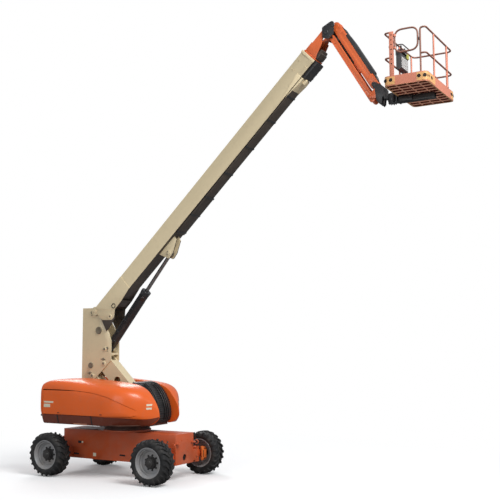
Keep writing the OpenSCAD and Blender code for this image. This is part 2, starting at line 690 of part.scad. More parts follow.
// --- jib -----------------------------------------------------------------------------------------
module jib_knuckle() color("dimgray") difference() {
    union() {
        plate(-tongue_w / 2, tongue_w / 2) {
            polygon([level_pin + [-65, 40], level_pin + [110, 200], jib_pin + [-35, 72],
                     jib_low_pin + [72, 0], jib_low_pin + [20, -76], level_pin + [-20, -70]]);
            translate(jib_pin) circle(r = 80);
            translate(jib_low_pin) circle(r = 72);
        }
        plate(-jib_w / 2, jib_w / 2) {
            translate(level_pin) circle(r = 72);
            translate(jib_low_pin) circle(r = 70);
        }
        bar_y(level_pin, 60, -fly_w / 2 + ear_t + side_gap, fly_w / 2 - ear_t - side_gap);
        bar_y(jib_pin, jib_pin_d / 2, -jib_w / 2, jib_w / 2);
        bar_y(jib_low_pin, jib_pin_d / 2, -jib_link_y - jib_link_t - 10, jib_link_y + jib_link_t + 10);
    }
    bar_y(level_pin, jib_pin_d / 2 + pin_gap, -300, 300);
}

module jib_arm() color("orangered") from_point(jib_pin, -jib_a) difference() {
    plate(-jib_w / 2, jib_w / 2) link_outline(jib_l, jib_h);
    // hollow box
    block([fork_l + 8, -jib_w / 2 + 8, -jib_h / 2 + 8], [jib_l - fork_l - 8, jib_w / 2 - 8, jib_h / 2 - 8]);
    // fork slots for the tongues at both ends
    for (x = [-jib_h, jib_l - fork_l])
        block([x, -tongue_w / 2 - side_gap, -jib_h], [x + jib_h + fork_l, tongue_w / 2 + side_gap, jib_h]);
    for (x = [0, jib_l]) bar_y([x, 0], jib_pin_d / 2 + pin_gap, -jib_w, jib_w);
}

module jib_link(s) color("orangered") scale([1, s, 1]) from_point(jib_low_pin, -jib_a) difference() {
    plate(jib_link_y, jib_link_y + jib_link_t) link_outline(jib_l + link_over, jib_link_h);
    for (x = [0, jib_l]) bar_y([x, 0], jib_pin_d / 2 + pin_gap, 0, jib_w);
}

module jib_head() color("dimgray") {
    // outlines from the upper pin as [x, z]
    foot = [[196, -307], [182, -431], [145, -470], [75, -393]];
    tongue = [[0, 80], [90, 30], [218, -86], [275, -150], [275, -283]];
    cheek = [[-13, 27], [60, 30], [215, -84], [215, -307]];
    strap = [[45, -290], jib_drop + [0, -36], jib_drop + [0, 36], [15, -190], [-7, -116]];
    plate(-tongue_w / 2, tongue_w / 2) {
        translate(head_pin) circle(r = 80);
        polygon([for (p = concat(tongue, foot, [[22, -340], [70, -150], [30, -100]])) head_pin + p]);
    }
    // cheeks outside the arm and the links
    both_sides() plate(head_y - head_cheek_t, head_y) {
        polygon([for (p = concat(cheek, foot, strap)) head_pin + p]);
        translate(head_low_pin) circle(r = 40);
    }
    // block that joins them, and the arm that carries the rotator
    block([head_pin[0] + 135, -head_y, head_pin[1] - 307], [head_pin[0] + 215, head_y, head_pin[1] - 110]);
    block([head_pin[0] + 200, -70, turn_z0 + 68], [turn_x - 60, 70, turn_z1 - 6]);
    bar_y(head_pin, jib_pin_d / 2, -head_y, head_y);
    both_sides() bar_y(head_low_pin, jib_pin_d / 2, jib_link_y - 3, head_y);
    translate([turn_x, 0, turn_z0]) cylinder(r = turn_r, h = turn_z1 - turn_z0);
}

// --- platform ------------------------------------------------------------------------------------
module platform_support() color("dimgray") {
    for (z = [turn_z0 - clamp_t - seat_gap, turn_z1 + seat_gap]) translate([turn_x, 0, z]) {
        cylinder(r = turn_r, h = clamp_t);
        block([0, -70, 0], [plat_gap - 20, 70, clamp_t]);
    }
    block([turn_x + turn_r + 12, -150, turn_z0 - clamp_t - seat_gap],
          [plat_x0 - seat_gap, 150, turn_z1 + clamp_t + seat_gap]);
    // beam under the deck
    difference() {
        block([turn_x + turn_r + 12, -60, plat_z0 - beam_h], [plat_x1 - 130, 60, plat_z0 - seat_gap]);
        block([plat_x0 + 20, -50, plat_z0 - beam_h + 10], [plat_x1 - 129, 50, plat_z0 - 10]);
    }
}

// Plan of the platform with round corners, drawn in by t
function arc(x, y, r, a0) = [for (a = [0:15:90]) [x + r * cos(a0 + a), y + r * sin(a0 + a)]];
module deck_plan(t) polygon(concat(
    arc(plat_x1 - plat_r, plat_y - plat_r, plat_r - t, 0),
        arc(plat_x0 + plat_r, plat_y - plat_r, plat_r - t, 90),
    arc(plat_x0 + plat_r, -plat_y + plat_r, plat_r - t, 180),
    arc(plat_x1 - plat_r, -plat_y + plat_r, plat_r - t, 270)));

module platform_floor() color("orangered") {
    bar_t = 10;
    difference() {
        translate([0, 0, plat_z0]) linear_extrude(plat_z1 + toe_h - plat_z0) deck_plan(0);
        translate([0, 0, plat_z0 - 1]) linear_extrude(plat_z1 + toe_h - plat_z0 + 2) deck_plan(toe_t);
    }
    translate([0, 0, plat_z1 - 5]) linear_extrude(5) deck_plan(1);
    for (i = [1:4]) translate([plat_x0 + i * plat_w / 5 - bar_t / 2, 0, 0])
        block([0, -plat_y + 1, plat_z0], [bar_t, plat_y - 1, plat_z1 - 1]);
    for (i = [1:9]) translate([0, -plat_y + i * plat_l / 10 - bar_t / 2, 0])
        block([plat_x0 + 1, 0, plat_z0 + 10], [plat_x1 - 1, bar_t, plat_z1 - 1]);
}

// Rail tube between two points
module rail(a, b) {
    v = b - a;
    l = norm(v);
    translate(a) rotate([0, acos(v[2] / l), atan2(v[1], v[0])]) cylinder(r = rail_r, h = l, $fn = 24);
}
module rail_run(p) {
    for (i = [0:len(p) - 2]) rail(p[i], p[i + 1]);
    for (q = p) translate(q) sphere(r = rail_r, $fn = 24);
}

module platform_rails() color("orangered") {
    i = rail_r + 2;
    x0 = plat_x0 + i;
    x1 = plat_x1 - i;
    y = plat_y - i;
    foot = plat_z1 + toe_h + seat_gap;
    for (z = [rail_z, mid_rail_z])
        rail_run([[gate_x0 - 40, -y, z], [x0, -y, z], [x0, y, z], [x1, y, z], [x1, -y, z],
            [gate_x1 + 40, -y, z]]);
    for (p = [[x0, y], [x0, 0], [x1 - 130, y], [x1, 480], [x1, -390]])
        rail([p[0], p[1], foot], [p[0], p[1], rail_z]);
    // lanyard anchors under the back top rail
    for (s = [-1, 1]) difference() {
        translate([x0, s * anchor_y, rail_z - rail_r - 22]) block([-4, -30, -34], [4, 30, 26]);
        translate([x0 - 20, s * anchor_y, rail_z - rail_r - 26]) rotate([0, 90, 0]) cylinder(r = 13, h = 40);
    }
    // posts each side of the gate: a flat one for the hinges and a round one
    block([gate_x0 - 65, -y - rail_r, foot], [gate_x0 - 15, -y + rail_r, rail_z + rail_r]);
    rail([gate_x1 + 40, -y, foot], [gate_x1 + 40, -y, rail_z]);
    // hinge rings round the gate's back tube
    for (z = gate_rings) translate([gate_a, gate_y, z]) difference() {
        cylinder(r = rail_r + 10, h = 40);
        translate([0, 0, -1]) cylinder(r = rail_r + pin_gap, h = 42);
    }
}

module platform_gate() color("orangered") {
    z0 = plat_z1 + 620;
    z1 = rail_z + 30;
    rail_run([[gate_a, gate_y, z0], [gate_a, gate_y, z1], [gate_b, gate_y, z1], [gate_b, gate_y, z0],
        [gate_a, gate_y, z0]]);
    // collars that rest on the hinge rings
    for (z = gate_rings) translate([gate_a, gate_y, z + 40 + seat_gap]) cylinder(r = rail_r + 6, h = 14);
}

module control_console() color("dimgray") {
    x = plat_x0 + rail_d + 2 + seat_gap;
    block([x, -265, plat_z1 + 480], [x + 125, 265, plat_z1 + 800]);
    block([x, -265, plat_z1 + 800 - 1], [x + 95, 265, plat_z1 + 900]);
}

// --- the whole machine ---------------------------------------------------------------------------
place() chassis_frame();
place() axle(true);  // front_axle
place() axle(false);  // rear_axle
place() slew_ring();
place() knuckle(1);  // knuckle_left
place() knuckle(-1);  // knuckle_right
place() tie_rod();
place() tyre(axle_x, 1);  // tyre_front_left
place() tyre(axle_x, -1);  // tyre_front_right
place() tyre(-axle_x, 1);  // tyre_rear_left
place() tyre(-axle_x, -1);  // tyre_rear_right
place() rim(axle_x, 1);  // rim_front_left
place() rim(axle_x, -1);  // rim_front_right
place() rim(-axle_x, 1);  // rim_rear_left
place() rim(-axle_x, -1);  // rim_rear_right
place() hub(axle_x, 1);  // hub_front_left
place() hub(axle_x, -1);  // hub_front_right
place() hub(-axle_x, 1);  // hub_rear_left
place() hub(-axle_x, -1);  // hub_rear_right
place() turntable_deck();
place() counterweight();
place() engine();
place() hood(1);  // hood_left
place() hood(-1);  // hood_right
place() door(1);  // door_left
place() door(-1);  // door_right
place() lift_link();
place() timing_link();
place() upright();
place() lift_barrel();
place() lift_rod();
place() boom_base();
place() boom_mid();
place() boom_fly();
place() hose_tray();
place() tip_guard();
place() jib_knuckle();
place() jib_arm();
place() jib_link(1);  // jib_link_left
place() jib_link(-1);  // jib_link_right
place() jib_head();
place() platform_support();
place() platform_floor();
place() platform_rails();
place() platform_gate();
place() control_console();
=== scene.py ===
# %% [markdown]
# # A telescopic boom lift, finished part by part
# The machine is a platform on a long arm: a chassis on four wheels, a turntable under two moulded
# hoods, a tower, a three-part boom, a short jib and a railed platform. Its construction is a packed
# frame that already holds the main sizes and every joint. This notebook gives each part its finish,
# its rounded edges and the small things that a plain frame leaves out.

# %% Load the frame and its joints, and a way to measure a part's box
import json
import math

import bmesh
import bpy
import numpy as np
from mathutils import Matrix, Vector


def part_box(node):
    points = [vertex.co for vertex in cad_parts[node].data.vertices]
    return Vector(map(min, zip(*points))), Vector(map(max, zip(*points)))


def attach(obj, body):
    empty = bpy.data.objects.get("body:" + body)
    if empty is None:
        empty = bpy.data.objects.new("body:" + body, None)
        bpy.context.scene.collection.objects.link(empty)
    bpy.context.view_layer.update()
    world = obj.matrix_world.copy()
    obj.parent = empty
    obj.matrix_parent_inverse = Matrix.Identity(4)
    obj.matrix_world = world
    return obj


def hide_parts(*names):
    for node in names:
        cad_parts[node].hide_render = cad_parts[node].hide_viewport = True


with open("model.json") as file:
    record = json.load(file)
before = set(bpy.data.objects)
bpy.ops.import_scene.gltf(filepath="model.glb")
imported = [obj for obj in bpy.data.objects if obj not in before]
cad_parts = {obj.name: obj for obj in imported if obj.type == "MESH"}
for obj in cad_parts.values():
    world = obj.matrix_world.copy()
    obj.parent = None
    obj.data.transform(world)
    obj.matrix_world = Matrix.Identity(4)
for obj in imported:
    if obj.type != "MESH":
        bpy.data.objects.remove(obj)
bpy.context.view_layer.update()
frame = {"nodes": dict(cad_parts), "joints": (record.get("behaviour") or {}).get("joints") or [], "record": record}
joints = {j["name"]: j for j in frame["joints"]}

# %% [markdown]
# ## Places on the machine
# The main places are read and not typed in: a joint says where its pin is, and a node's box says how
# large it is. The small fittings then stand at offsets in metres from these places, so they stay
# on their part. The boom and the jib lean, which makes such offsets awkward, so each gets a small
# function that turns "so far along, so far above the pin" into a point.

# %% Read the main places from the joints and the boxes
def joint_at(name):
    """Where a joint's pin is, at rest."""
    return Vector(joints[name]["pos_m"])


SLEW_X = joint_at("swing").x
WHEELS = {n: joint_at("roll_" + n) for n in ("front_left", "front_right", "rear_left", "rear_right")}
TYRE_R = WHEELS["front_left"].z
TYRE_LOW, TYRE_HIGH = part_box("tyre_front_left")
TYRE_W = TYRE_HIGH.y - TYRE_LOW.y
BOOM_DIR = Vector(joints["boom_extend"]["axis"])
JIB_DIR = (joint_at("head_level") - joint_at("jib_lift")).normalized()
LINK_DIR = (joint_at("tower_lift") - joint_at("tower_level")).normalized()


def along(pin, direction, s, n, y=0.0):
    """The point s along a side-view direction from a pin, n square to it, and y across."""
    up = Vector((-direction.z, 0, direction.x))
    return pin + direction * s + up * n + Vector((0, y, 0))


def on_boom(s, n, y=0.0):
    """The point s along the boom from its pin and n above it."""
    return along(joint_at("boom_lift"), BOOM_DIR, s, n, y)


def on_jib(s, n, y=0.0):
    """The point s along the jib from its pin and n above it."""
    return along(joint_at("jib_lift"), JIB_DIR, s, n, y)


print("tyre radius", round(TYRE_R, 3), "slew axis at x =", round(SLEW_X, 3))

# %% [markdown]
# ## The camera comes first
# The camera stands some 20 metres away and 3 metres up, with a slightly long lens, and looks up a few
# degrees, so the platform is seen from below and the hoods from the side. A camera turned by hand
# would drift, so its direction is built from three angles.

# %% Camera
CAMERA_AT = Vector((SLEW_X + 13.229, -17.092, 3.251))
AZIMUTH, PITCH, ROLL = math.radians(-29.733), math.radians(5.954), math.radians(-0.136)
LENS_MM, SENSOR_MM, SEES_TO = 62.0, 36.0, 200

camera = bpy.data.objects.new("camera", bpy.data.cameras.new("camera"))
camera.data.lens = LENS_MM
camera.data.sensor_width = SENSOR_MM
camera.data.clip_end = SEES_TO
camera.location = CAMERA_AT
looking = Vector((math.sin(AZIMUTH) * math.cos(PITCH), math.cos(AZIMUTH) * math.cos(PITCH), math.sin(PITCH)))
camera.rotation_euler = (looking.to_track_quat("-Z", "Y").to_matrix()
                         @ Matrix.Rotation(ROLL, 3, "Z")).to_euler()
bpy.context.scene.collection.objects.link(camera)
bpy.context.scene.camera = camera
print("camera", LENS_MM, "mm at", [round(v, 2) for v in CAMERA_AT])

# %% [markdown]
# ## A plain pale studio
# The floor is pale near the machine, where it takes the soft shadow, and turns to pure white further
# out, so it runs into the white behind without an edge. Only the camera sees that white: the machine
# itself is lit by three lamps and a weak even sky, because a white room would wash its colours out.
# The strongest lamp stands high in front, a broad weak one behind the camera and one behind the machine.

# %% A helper that starts a material, and the world
def shader(name):
    """A new material: its node tree, its Principled shader and a helper that adds nodes."""
    material = bpy.data.materials.new(name)
    material.use_nodes = True
    tree = material.node_tree
    principled = tree.nodes["Principled BSDF"]

    def add(kind, **values):
        node = tree.nodes.new(kind)
        for key, value in values.items():
            if hasattr(node, key):
                setattr(node, key, value)
            else:
                node.inputs[key.replace("_", " ")].default_value = value
        return node

    return material, tree, principled, add


world = bpy.data.worlds.new("studio")
world.use_nodes = True
bpy.context.scene.world = world
sky = world.node_tree
ambient = sky.nodes["Background"]
ambient.inputs["Color"].default_value = (0.93, 0.96, 1.0, 1)
ambient.inputs["Strength"].default_value = 0.42
white = sky.nodes.new("ShaderNodeBackground")
white.inputs["Color"].default_value = (1, 1, 1, 1)
choose = sky.nodes.new("ShaderNodeMixShader")
sky.links.new(sky.nodes.new("ShaderNodeLightPath").outputs["Is Camera Ray"], choose.inputs["Fac"])
sky.links.new(ambient.outputs[0], choose.inputs[1])
sky.links.new(white.outputs[0], choose.inputs[2])
sky.links.new(choose.outputs[0], sky.nodes["World Output"].inputs["Surface"])
bpy.context.scene.view_settings.view_transform = "Standard"
print("world:", world.name)

# %% Floor
FLOOR_R, FLOOR_Z = 160, -0.002
FLOOR_BOUNCE, FLOOR_SEEN, FLOOR_GLOW = 0.30, 0.95, 0.12
WHITE_FROM, WHITE_TO = 4.0, 11.0  # metres from the slew axis
floor_paint, tree, principled, add = shader("floor_white")
rays = add("ShaderNodeLightPath").outputs["Is Camera Ray"]
colour = add("ShaderNodeMix", data_type="RGBA")
tree.links.new(rays, colour.inputs[0])
colour.inputs[6].default_value = (FLOOR_BOUNCE, FLOOR_BOUNCE, FLOOR_BOUNCE, 1)
colour.inputs[7].default_value = (FLOOR_SEEN, FLOOR_SEEN, FLOOR_SEEN, 1)
matt = add("ShaderNodeBsdfDiffuse")
tree.links.new(colour.outputs[2], matt.inputs["Color"])
glow = add("ShaderNodeEmission")
tree.links.new(rays, glow.inputs["Color"])
glow.inputs["Strength"].default_value = FLOOR_GLOW
lit = add("ShaderNodeAddShader")
tree.links.new(matt.outputs[0], lit.inputs[0])
tree.links.new(glow.outputs[0], lit.inputs[1])
reach = add("ShaderNodeVectorMath", operation="LENGTH")
offset = add("ShaderNodeMapping", Location=(-SLEW_X, 0, 0))
tree.links.new(add("ShaderNodeTexCoord").outputs["Object"], offset.inputs["Vector"])
tree.links.new(offset.outputs[0], reach.inputs[0])
far = add("ShaderNodeMapRange", interpolation_type="SMOOTHSTEP")
tree.links.new(reach.outputs["Value"], far.inputs["Value"])
far.inputs["From Min"].default_value, far.inputs["From Max"].default_value = WHITE_FROM, WHITE_TO
share = add("ShaderNodeMath", operation="MULTIPLY")
tree.links.new(far.outputs[0], share.inputs[0])
tree.links.new(rays, share.inputs[1])
pure = add("ShaderNodeEmission")
blend = add("ShaderNodeMixShader")
for socket, source in ((0, share), (1, lit), (2, pure)):
    tree.links.new(source.outputs[0], blend.inputs[socket])
tree.links.new(blend.outputs[0], tree.nodes["Material Output"].inputs["Surface"])
tree.nodes.remove(principled)
bpy.ops.mesh.primitive_circle_add(vertices=96, radius=FLOOR_R, fill_type="NGON", location=(0, 0, FLOOR_Z))
floor = bpy.context.object
floor.name = "studio_floor"
floor.data.materials.append(floor_paint)
print("studio ready")

# %% Lamps
def lamp(name, at, aim, size, watts, colour=(1, 1, 1)):
    """A square soft box at a point, turned to face another."""
    data = bpy.data.lights.new(name, "AREA")
    data.shape = "SQUARE"
    data.size, data.energy, data.color = size, watts, colour
    box = bpy.data.objects.new(name, data)
    box.location = at
    box.rotation_euler = (Vector(aim) - Vector(at)).to_track_quat("-Z", "Y").to_euler()
    bpy.context.scene.collection.objects.link(box)


lamp("key_high_front", (13, -5, 17), (-1, 0, 3), 9, 3400)
lamp("fill_by_camera", (0, -22, 8), (0, 0, 4), 10, 650)
lamp("rim_behind", (-12, 10, 12), (-2, 0, 4), 8, 900)

# %% [markdown]
# ## Paint, rubber and metal
# Machine paint isn't one flat colour: it varies a little over a panel, its gloss is broken by a
# fine orange-peel ripple, dust dulls whatever lies near the wheels, and edges are rubbed lighter.
# One function mixes these from noise in the object's own coordinates, so nothing slides when a
# part moves. Pointiness would need a fine mesh; a Bevel node finds the edges of any plate instead.

# %% Small helpers for shader nodes
def noise(tree, add, coordinates, scale, detail=3.0):
    """A noise texture in object coordinates."""
    texture = add("ShaderNodeTexNoise", Scale=scale, Detail=detail)
    tree.links.new(coordinates, texture.inputs["Vector"])
    return texture.outputs["Fac"]


def ramp(tree, add, value, low, high, to_low=0.0, to_high=1.0):
    """Spreads a value between two limits over a new range, held at both ends."""
    node = add("ShaderNodeMapRange")
    tree.links.new(value, node.inputs["Value"])
    for socket, number in (("From Min", low), ("From Max", high), ("To Min", to_low), ("To Max", to_high)):
        node.inputs[socket].default_value = number
    return node.outputs["Result"]


def mix(tree, add, share, first, second):
    """Mixes two colours, each a plain colour or a socket, by a share."""
    node = add("ShaderNodeMix", data_type="RGBA")
    for socket, value in ((node.inputs[0], share), (node.inputs[6], first), (node.inputs[7], second)):
        if isinstance(value, (tuple, float, int)):
            socket.default_value = value
        else:
            tree.links.new(value, socket)
    return node.outputs[2]


def times(tree, add, first, second):
    """Two values multiplied, each a number or a socket."""
    node = add("ShaderNodeMath", operation="MULTIPLY")
    for socket, value in ((node.inputs[0], first), (node.inputs[1], second)):
        if isinstance(value, (float, int)):
            socket.default_value = value
        else:
            tree.links.new(value, socket)
    return node.outputs[0]


print("shader helpers ready")

# %% Painted steel
DUST = (0.30, 0.24, 0.19, 1)
WORN_EDGE_R = 0.010
COAT_GLOSS = 0.12


def painted(name, colour, gloss=0.35, dusty=0.0, wear=0.25, ripple=0.03, coat=0.4, fade=0.10):
    """Machine paint: colour drift, soft gloss breaks, dust near the ground and rubbed edges."""
    material, tree, principled, add = shader(name)
    place = add("ShaderNodeTexCoord").outputs["Object"]
    base = colour + (1,)
    deep = tuple(c * (1 - fade) for c in colour) + (1,)
    pale = tuple(min(1, c * (1 + fade) + 0.012) for c in colour) + (1,)
    drift = ramp(tree, add, noise(tree, add, place, 1.3, 4), 0.35, 0.65)
    tone = mix(tree, add, drift, deep, pale)
    tone = mix(tree, add, 0.5, tone, base)
    grime = ramp(tree, add, noise(tree, add, place, 9, 6), 0.52, 0.75, 0, 0.25)
    if dusty:
        height = add("ShaderNodeSeparateXYZ")
        tree.links.new(place, height.inputs[0])
        low = ramp(tree, add, height.outputs["Z"], 0.2, 1.3, dusty, dusty * 0.15)
        patch = ramp(tree, add, noise(tree, add, place, 4, 6), 0.35, 0.7)
        grime = times(tree, add, low, patch)
    tone = mix(tree, add, times(tree, add, grime, 1.0 if dusty else 0.35), tone, DUST)
    edge = add("ShaderNodeBevel", Radius=WORN_EDGE_R)
    edge.samples = 4
    flat = add("ShaderNodeNewGeometry")
    facing = add("ShaderNodeVectorMath", operation="DOT_PRODUCT")
    tree.links.new(edge.outputs[0], facing.inputs[0])
    tree.links.new(flat.outputs["True Normal"], facing.inputs[1])
    rubbed = ramp(tree, add, facing.outputs["Value"], 0.97, 0.80, 0, wear)
    patchy = ramp(tree, add, noise(tree, add, place, 14, 5), 0.45, 0.7)
    bare = tuple(min(1, c * 1.5 + 0.05) for c in colour) + (1,)
    tone = mix(tree, add, times(tree, add, rubbed, patchy), tone, bare)
    tree.links.new(tone, principled.inputs["Base Color"])
    rough = ramp(tree, add, noise(tree, add, place, 5, 5), 0.3, 0.7, gloss * 0.8, gloss * 1.25)
    tree.links.new(rough, principled.inputs["Roughness"])
    bump = add("ShaderNodeBump", Strength=ripple, Distance=0.004)
    tree.links.new(noise(tree, add, place, 160, 2), bump.inputs["Height"])
    tree.links.new(bump.outputs[0], principled.inputs["Normal"])
    principled.inputs["Coat Weight"].default_value = coat
    principled.inputs["Coat Roughness"].default_value = COAT_GLOSS
    return material


print("dust colour", DUST[:3])

# %% The machine's paints
ORANGE = painted("orange_gloss", (0.66, 0.125, 0.028), 0.34, wear=0.3)
HOOD = painted("hood_orange_moulded", (0.86, 0.135, 0.012), 0.36, wear=0.05,
               ripple=0.015, coat=0.22, fade=0.04)
CHASSIS = painted("chassis_orange_dusty", (0.62, 0.095, 0.018), 0.44, dusty=0.30, wear=0.30, coat=0.2)
CREAM = painted("cream_gloss", (0.76, 0.63, 0.40), 0.40, wear=0.10, fade=0.03, coat=0.25)
BLACK = painted("black_satin", (0.018, 0.018, 0.02), 0.42, wear=0.5, coat=0.15, fade=0.3)
CAST = painted("counterweight_orange_cast", (0.42, 0.08, 0.02), 0.6, wear=0.2, ripple=0.3, coat=0.0)
RIM_GREY = painted("rim_grey_dusty", (0.33, 0.335, 0.345), 0.38, dusty=0.5, wear=0.3, coat=0.2)
HUB_BLACK = painted("hub_black_dusty", (0.022, 0.022, 0.023), 0.45, dusty=0.12, wear=0.5, coat=0.1)
# A dark orange-brown, much darker than the orange paint, for the slew ring and the turntable deck.
RING_PAINT = painted("ring_paint_dark_brown", (0.085, 0.026, 0.012), 0.5, wear=0.3, coat=0.0)
KNUCKLE = painted("knuckle_orange_cast", (0.80, 0.17, 0.030), 0.45, wear=0.3, coat=0.1)
DARK_HOLE_CHASSIS = painted("shadow_in_frame", (0.012, 0.006, 0.005), 0.9, wear=0.0, coat=0.0)
CORNER_PALE = painted("sill_pale_orange", (0.62, 0.26, 0.15), 0.5, wear=0.2, coat=0.0)
LABEL_GREY = painted("panel_grey_blank", (0.46, 0.47, 0.46), 0.45, wear=0.0, coat=0.1)
LAMP_YELLOW = painted("yellow_green_housing", (0.42, 0.42, 0.08), 0.45, wear=0.1)
STOP_RED = painted("stop_button_red", (0.55, 0.01, 0.008), 0.3, wear=0.1)
print("paints:", len(bpy.data.materials))

# %% Rubber, plastic and bare metal
def rubber(name, colour, gloss, dust):
    """Matt rubber or plastic: a faint grain, a gloss that varies and pale dust in patches."""
    material, tree, principled, add = shader(name)
    place = add("ShaderNodeTexCoord").outputs["Object"]
    dull = ramp(tree, add, noise(tree, add, place, 7, 7), 0.42, 0.72, 0, dust)
    tone = mix(tree, add, dull, colour + (1,), (0.20, 0.18, 0.155, 1))
    tree.links.new(tone, principled.inputs["Base Color"])
    tree.links.new(ramp(tree, add, noise(tree, add, place, 22, 4), 0.3, 0.7, gloss - 0.1, gloss + 0.1),
                   principled.inputs["Roughness"])
    bump = add("ShaderNodeBump", Strength=0.25, Distance=0.003)
    tree.links.new(noise(tree, add, place, 90, 5), bump.inputs["Height"])
    tree.links.new(bump.outputs[0], principled.inputs["Normal"])
    return material


def bare_metal(name, colour, gloss, grain):
    """Turned or plated steel: two tones in patches, and a fine grain in its gloss."""
    material, tree, principled, add = shader(name)
    place = add("ShaderNodeTexCoord").outputs["Object"]
    tone = mix(tree, add, ramp(tree, add, noise(tree, add, place, 12, 5), 0.4, 0.7),
               colour + (1,), tuple(c * 0.72 for c in colour) + (1,))
    tree.links.new(tone, principled.inputs["Base Color"])
    principled.inputs["Metallic"].default_value = 1.0
    tree.links.new(ramp(tree, add, noise(tree, add, place, grain, 4), 0.3, 0.7, gloss * 0.7, gloss * 1.4),
                   principled.inputs["Roughness"])
    bump = add("ShaderNodeBump", Strength=0.06, Distance=0.001)
    tree.links.new(noise(tree, add, place, grain, 3), bump.inputs["Height"])
    tree.links.new(bump.outputs[0], principled.inputs["Normal"])
    return material


TYRE = rubber("tyre_rubber_dusty", (0.011, 0.011, 0.012), 0.62, 0.16)
PLASTIC = rubber("black_plastic_moulded", (0.02, 0.02, 0.022), 0.5, 0.10)
HOSE = rubber("hose_rubber_black", (0.014, 0.014, 0.015), 0.42, 0.12)
GREY_PLASTIC = rubber("console_grey_plastic", (0.05, 0.052, 0.055), 0.5, 0.12)
STEEL = bare_metal("plated_steel", (0.55, 0.54, 0.50), 0.32, 60)
DARK_STEEL = bare_metal("dark_machined_steel", (0.13, 0.13, 0.135), 0.38, 80)
print("materials:", len(bpy.data.materials))

# %% [markdown]
# ## Soft edges on the plates
# Cut plate has small rounded edges that catch the light, and the frame's plates are dead sharp.
# A plate's loose triangles are merged back into whole faces in a copy, its corners get a real bevel
# of a few millimetres, and the copy stands in for the plain node on the same body. A Bevel modifier
# would do as well, but it needs the merged faces first, so both are done in one go.

# %% Helpers that make and place meshes
BODY_OF = {n: b for b, nodes in frame["record"]["behaviour"]["bodies"].items() for n in nodes}


def settle(obj, material, body, *nodes, slot=None):
    """Gives a finished piece its finish and its body, and hides the nodes it stands for."""
    if material is not None:
        obj.data.materials.clear()
        obj.data.materials.append(material)
    if obj.name not in bpy.context.scene.collection.objects:
        bpy.context.scene.collection.objects.link(obj)
    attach(obj, body)
    if nodes:
        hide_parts(*nodes)
    return obj


def mesh_object(name, bm, smooth_angle=32):
    """A mesh object from a bmesh, shaded smooth but for edges sharper than the angle."""
    bmesh.ops.recalc_face_normals(bm, faces=bm.faces)
    mesh = bpy.data.meshes.new(name)
    bm.to_mesh(mesh)
    bm.free()
    mesh.shade_smooth()
    mesh.set_sharp_from_angle(angle=math.radians(smooth_angle))
    return bpy.data.objects.new(name, mesh)


def soften(bm, width, steps=2, sharper_than=28):
    """Bevels every edge that is sharper than an angle."""
    if width <= 0:
        return
    limit = math.radians(sharper_than)
    edges = [e for e in bm.edges if len(e.link_faces) == 2 and e.calc_face_angle(0) > limit]
    bmesh.ops.bevel(bm, geom=edges, offset=width, segments=steps, profile=0.6,
                    affect="EDGES", clamp_overlap=True)
    bmesh.ops.remove_doubles(bm, verts=bm.verts, dist=1e-5)


def whole_faces(node):
    """The node's own shape with its loose triangles merged into whole flat faces."""
    bm = bmesh.new()
    bm.from_mesh(frame["nodes"][node].data)
    bmesh.ops.remove_doubles(bm, verts=bm.verts, dist=2e-5)
    bmesh.ops.dissolve_limit(bm, angle_limit=math.radians(0.6), verts=bm.verts, edges=bm.edges,
                             delimit={"NORMAL"})
    return bm


def softened(node, material, width, steps=2):
    """Stands in for a node: the same shape with rounded edges."""
    bm = whole_faces(node)
    soften(bm, width, steps)
    return settle(mesh_object(node + "_finished", bm), material, BODY_OF[node], node)


# %% [markdown]
# ## What repeats is grown by node trees
# Tread lugs, wheel nuts, deck bars and slats, the console's tiles and the ribs on the cylinder all
# repeat. Modelling each by hand would be slow and uneven, so one small seed is made in mesh code and
# a Geometry Nodes tree sets copies of it round a ring or along a line. The result is kept as a plain
# mesh, so nothing is left live.

# %% How every tree starts and ends
def new_tree(name, sockets):
    """An empty tree with a geometry in and out and the named inputs."""
    tree = bpy.data.node_groups.new(name, "GeometryNodeTree")
    tree.interface.new_socket("Geometry", in_out="INPUT", socket_type="NodeSocketGeometry")
    for label, kind in sockets:
        tree.interface.new_socket(label, in_out="INPUT", socket_type=kind)
    tree.interface.new_socket("Geometry", in_out="OUTPUT", socket_type="NodeSocketGeometry")
    return tree, tree.nodes.new("NodeGroupInput"), tree.nodes.new("NodeGroupOutput")


def close_tree(tree, source, goal, instances):
    """Ends a tree: the copies are made real and given their material."""
    real = tree.nodes.new("GeometryNodeRealizeInstances")
    paint = tree.nodes.new("GeometryNodeSetMaterial")
    tree.links.new(instances, real.inputs[0])
    tree.links.new(real.outputs[0], paint.inputs["Geometry"])
    tree.links.new(source.outputs["Material"], paint.inputs["Material"])
    tree.links.new(paint.outputs[0], goal.inputs[0])
    return tree


print("tree helpers ready")

# %% Two trees: copies round a ring, and copies along a line
def ring_tree():
    """Count copies of the seed, each turned on evenly about Z."""
    tree, source, goal = new_tree("copies_round_a_ring", [
        ("Count", "NodeSocketInt"), ("Material", "NodeSocketMaterial")])
    points = tree.nodes.new("GeometryNodePoints")
    index = tree.nodes.new("GeometryNodeInputIndex")
    share = tree.nodes.new("ShaderNodeMath")
    share.operation = "DIVIDE"
    angle = tree.nodes.new("ShaderNodeMath")
    angle.operation = "MULTIPLY"
    angle.inputs[1].default_value = 2 * math.pi
    turn = tree.nodes.new("ShaderNodeCombineXYZ")
    copies = tree.nodes.new("GeometryNodeInstanceOnPoints")
    tree.links.new(source.outputs["Count"], points.inputs["Count"])
    tree.links.new(index.outputs[0], share.inputs[0])
    tree.links.new(source.outputs["Count"], share.inputs[1])
    tree.links.new(share.outputs[0], angle.inputs[0])
    tree.links.new(angle.outputs[0], turn.inputs["Z"])
    tree.links.new(points.outputs[0], copies.inputs["Points"])
    tree.links.new(source.outputs["Geometry"], copies.inputs["Instance"])
    tree.links.new(turn.outputs[0], copies.inputs["Rotation"])
    return close_tree(tree, source, goal, copies.outputs[0])


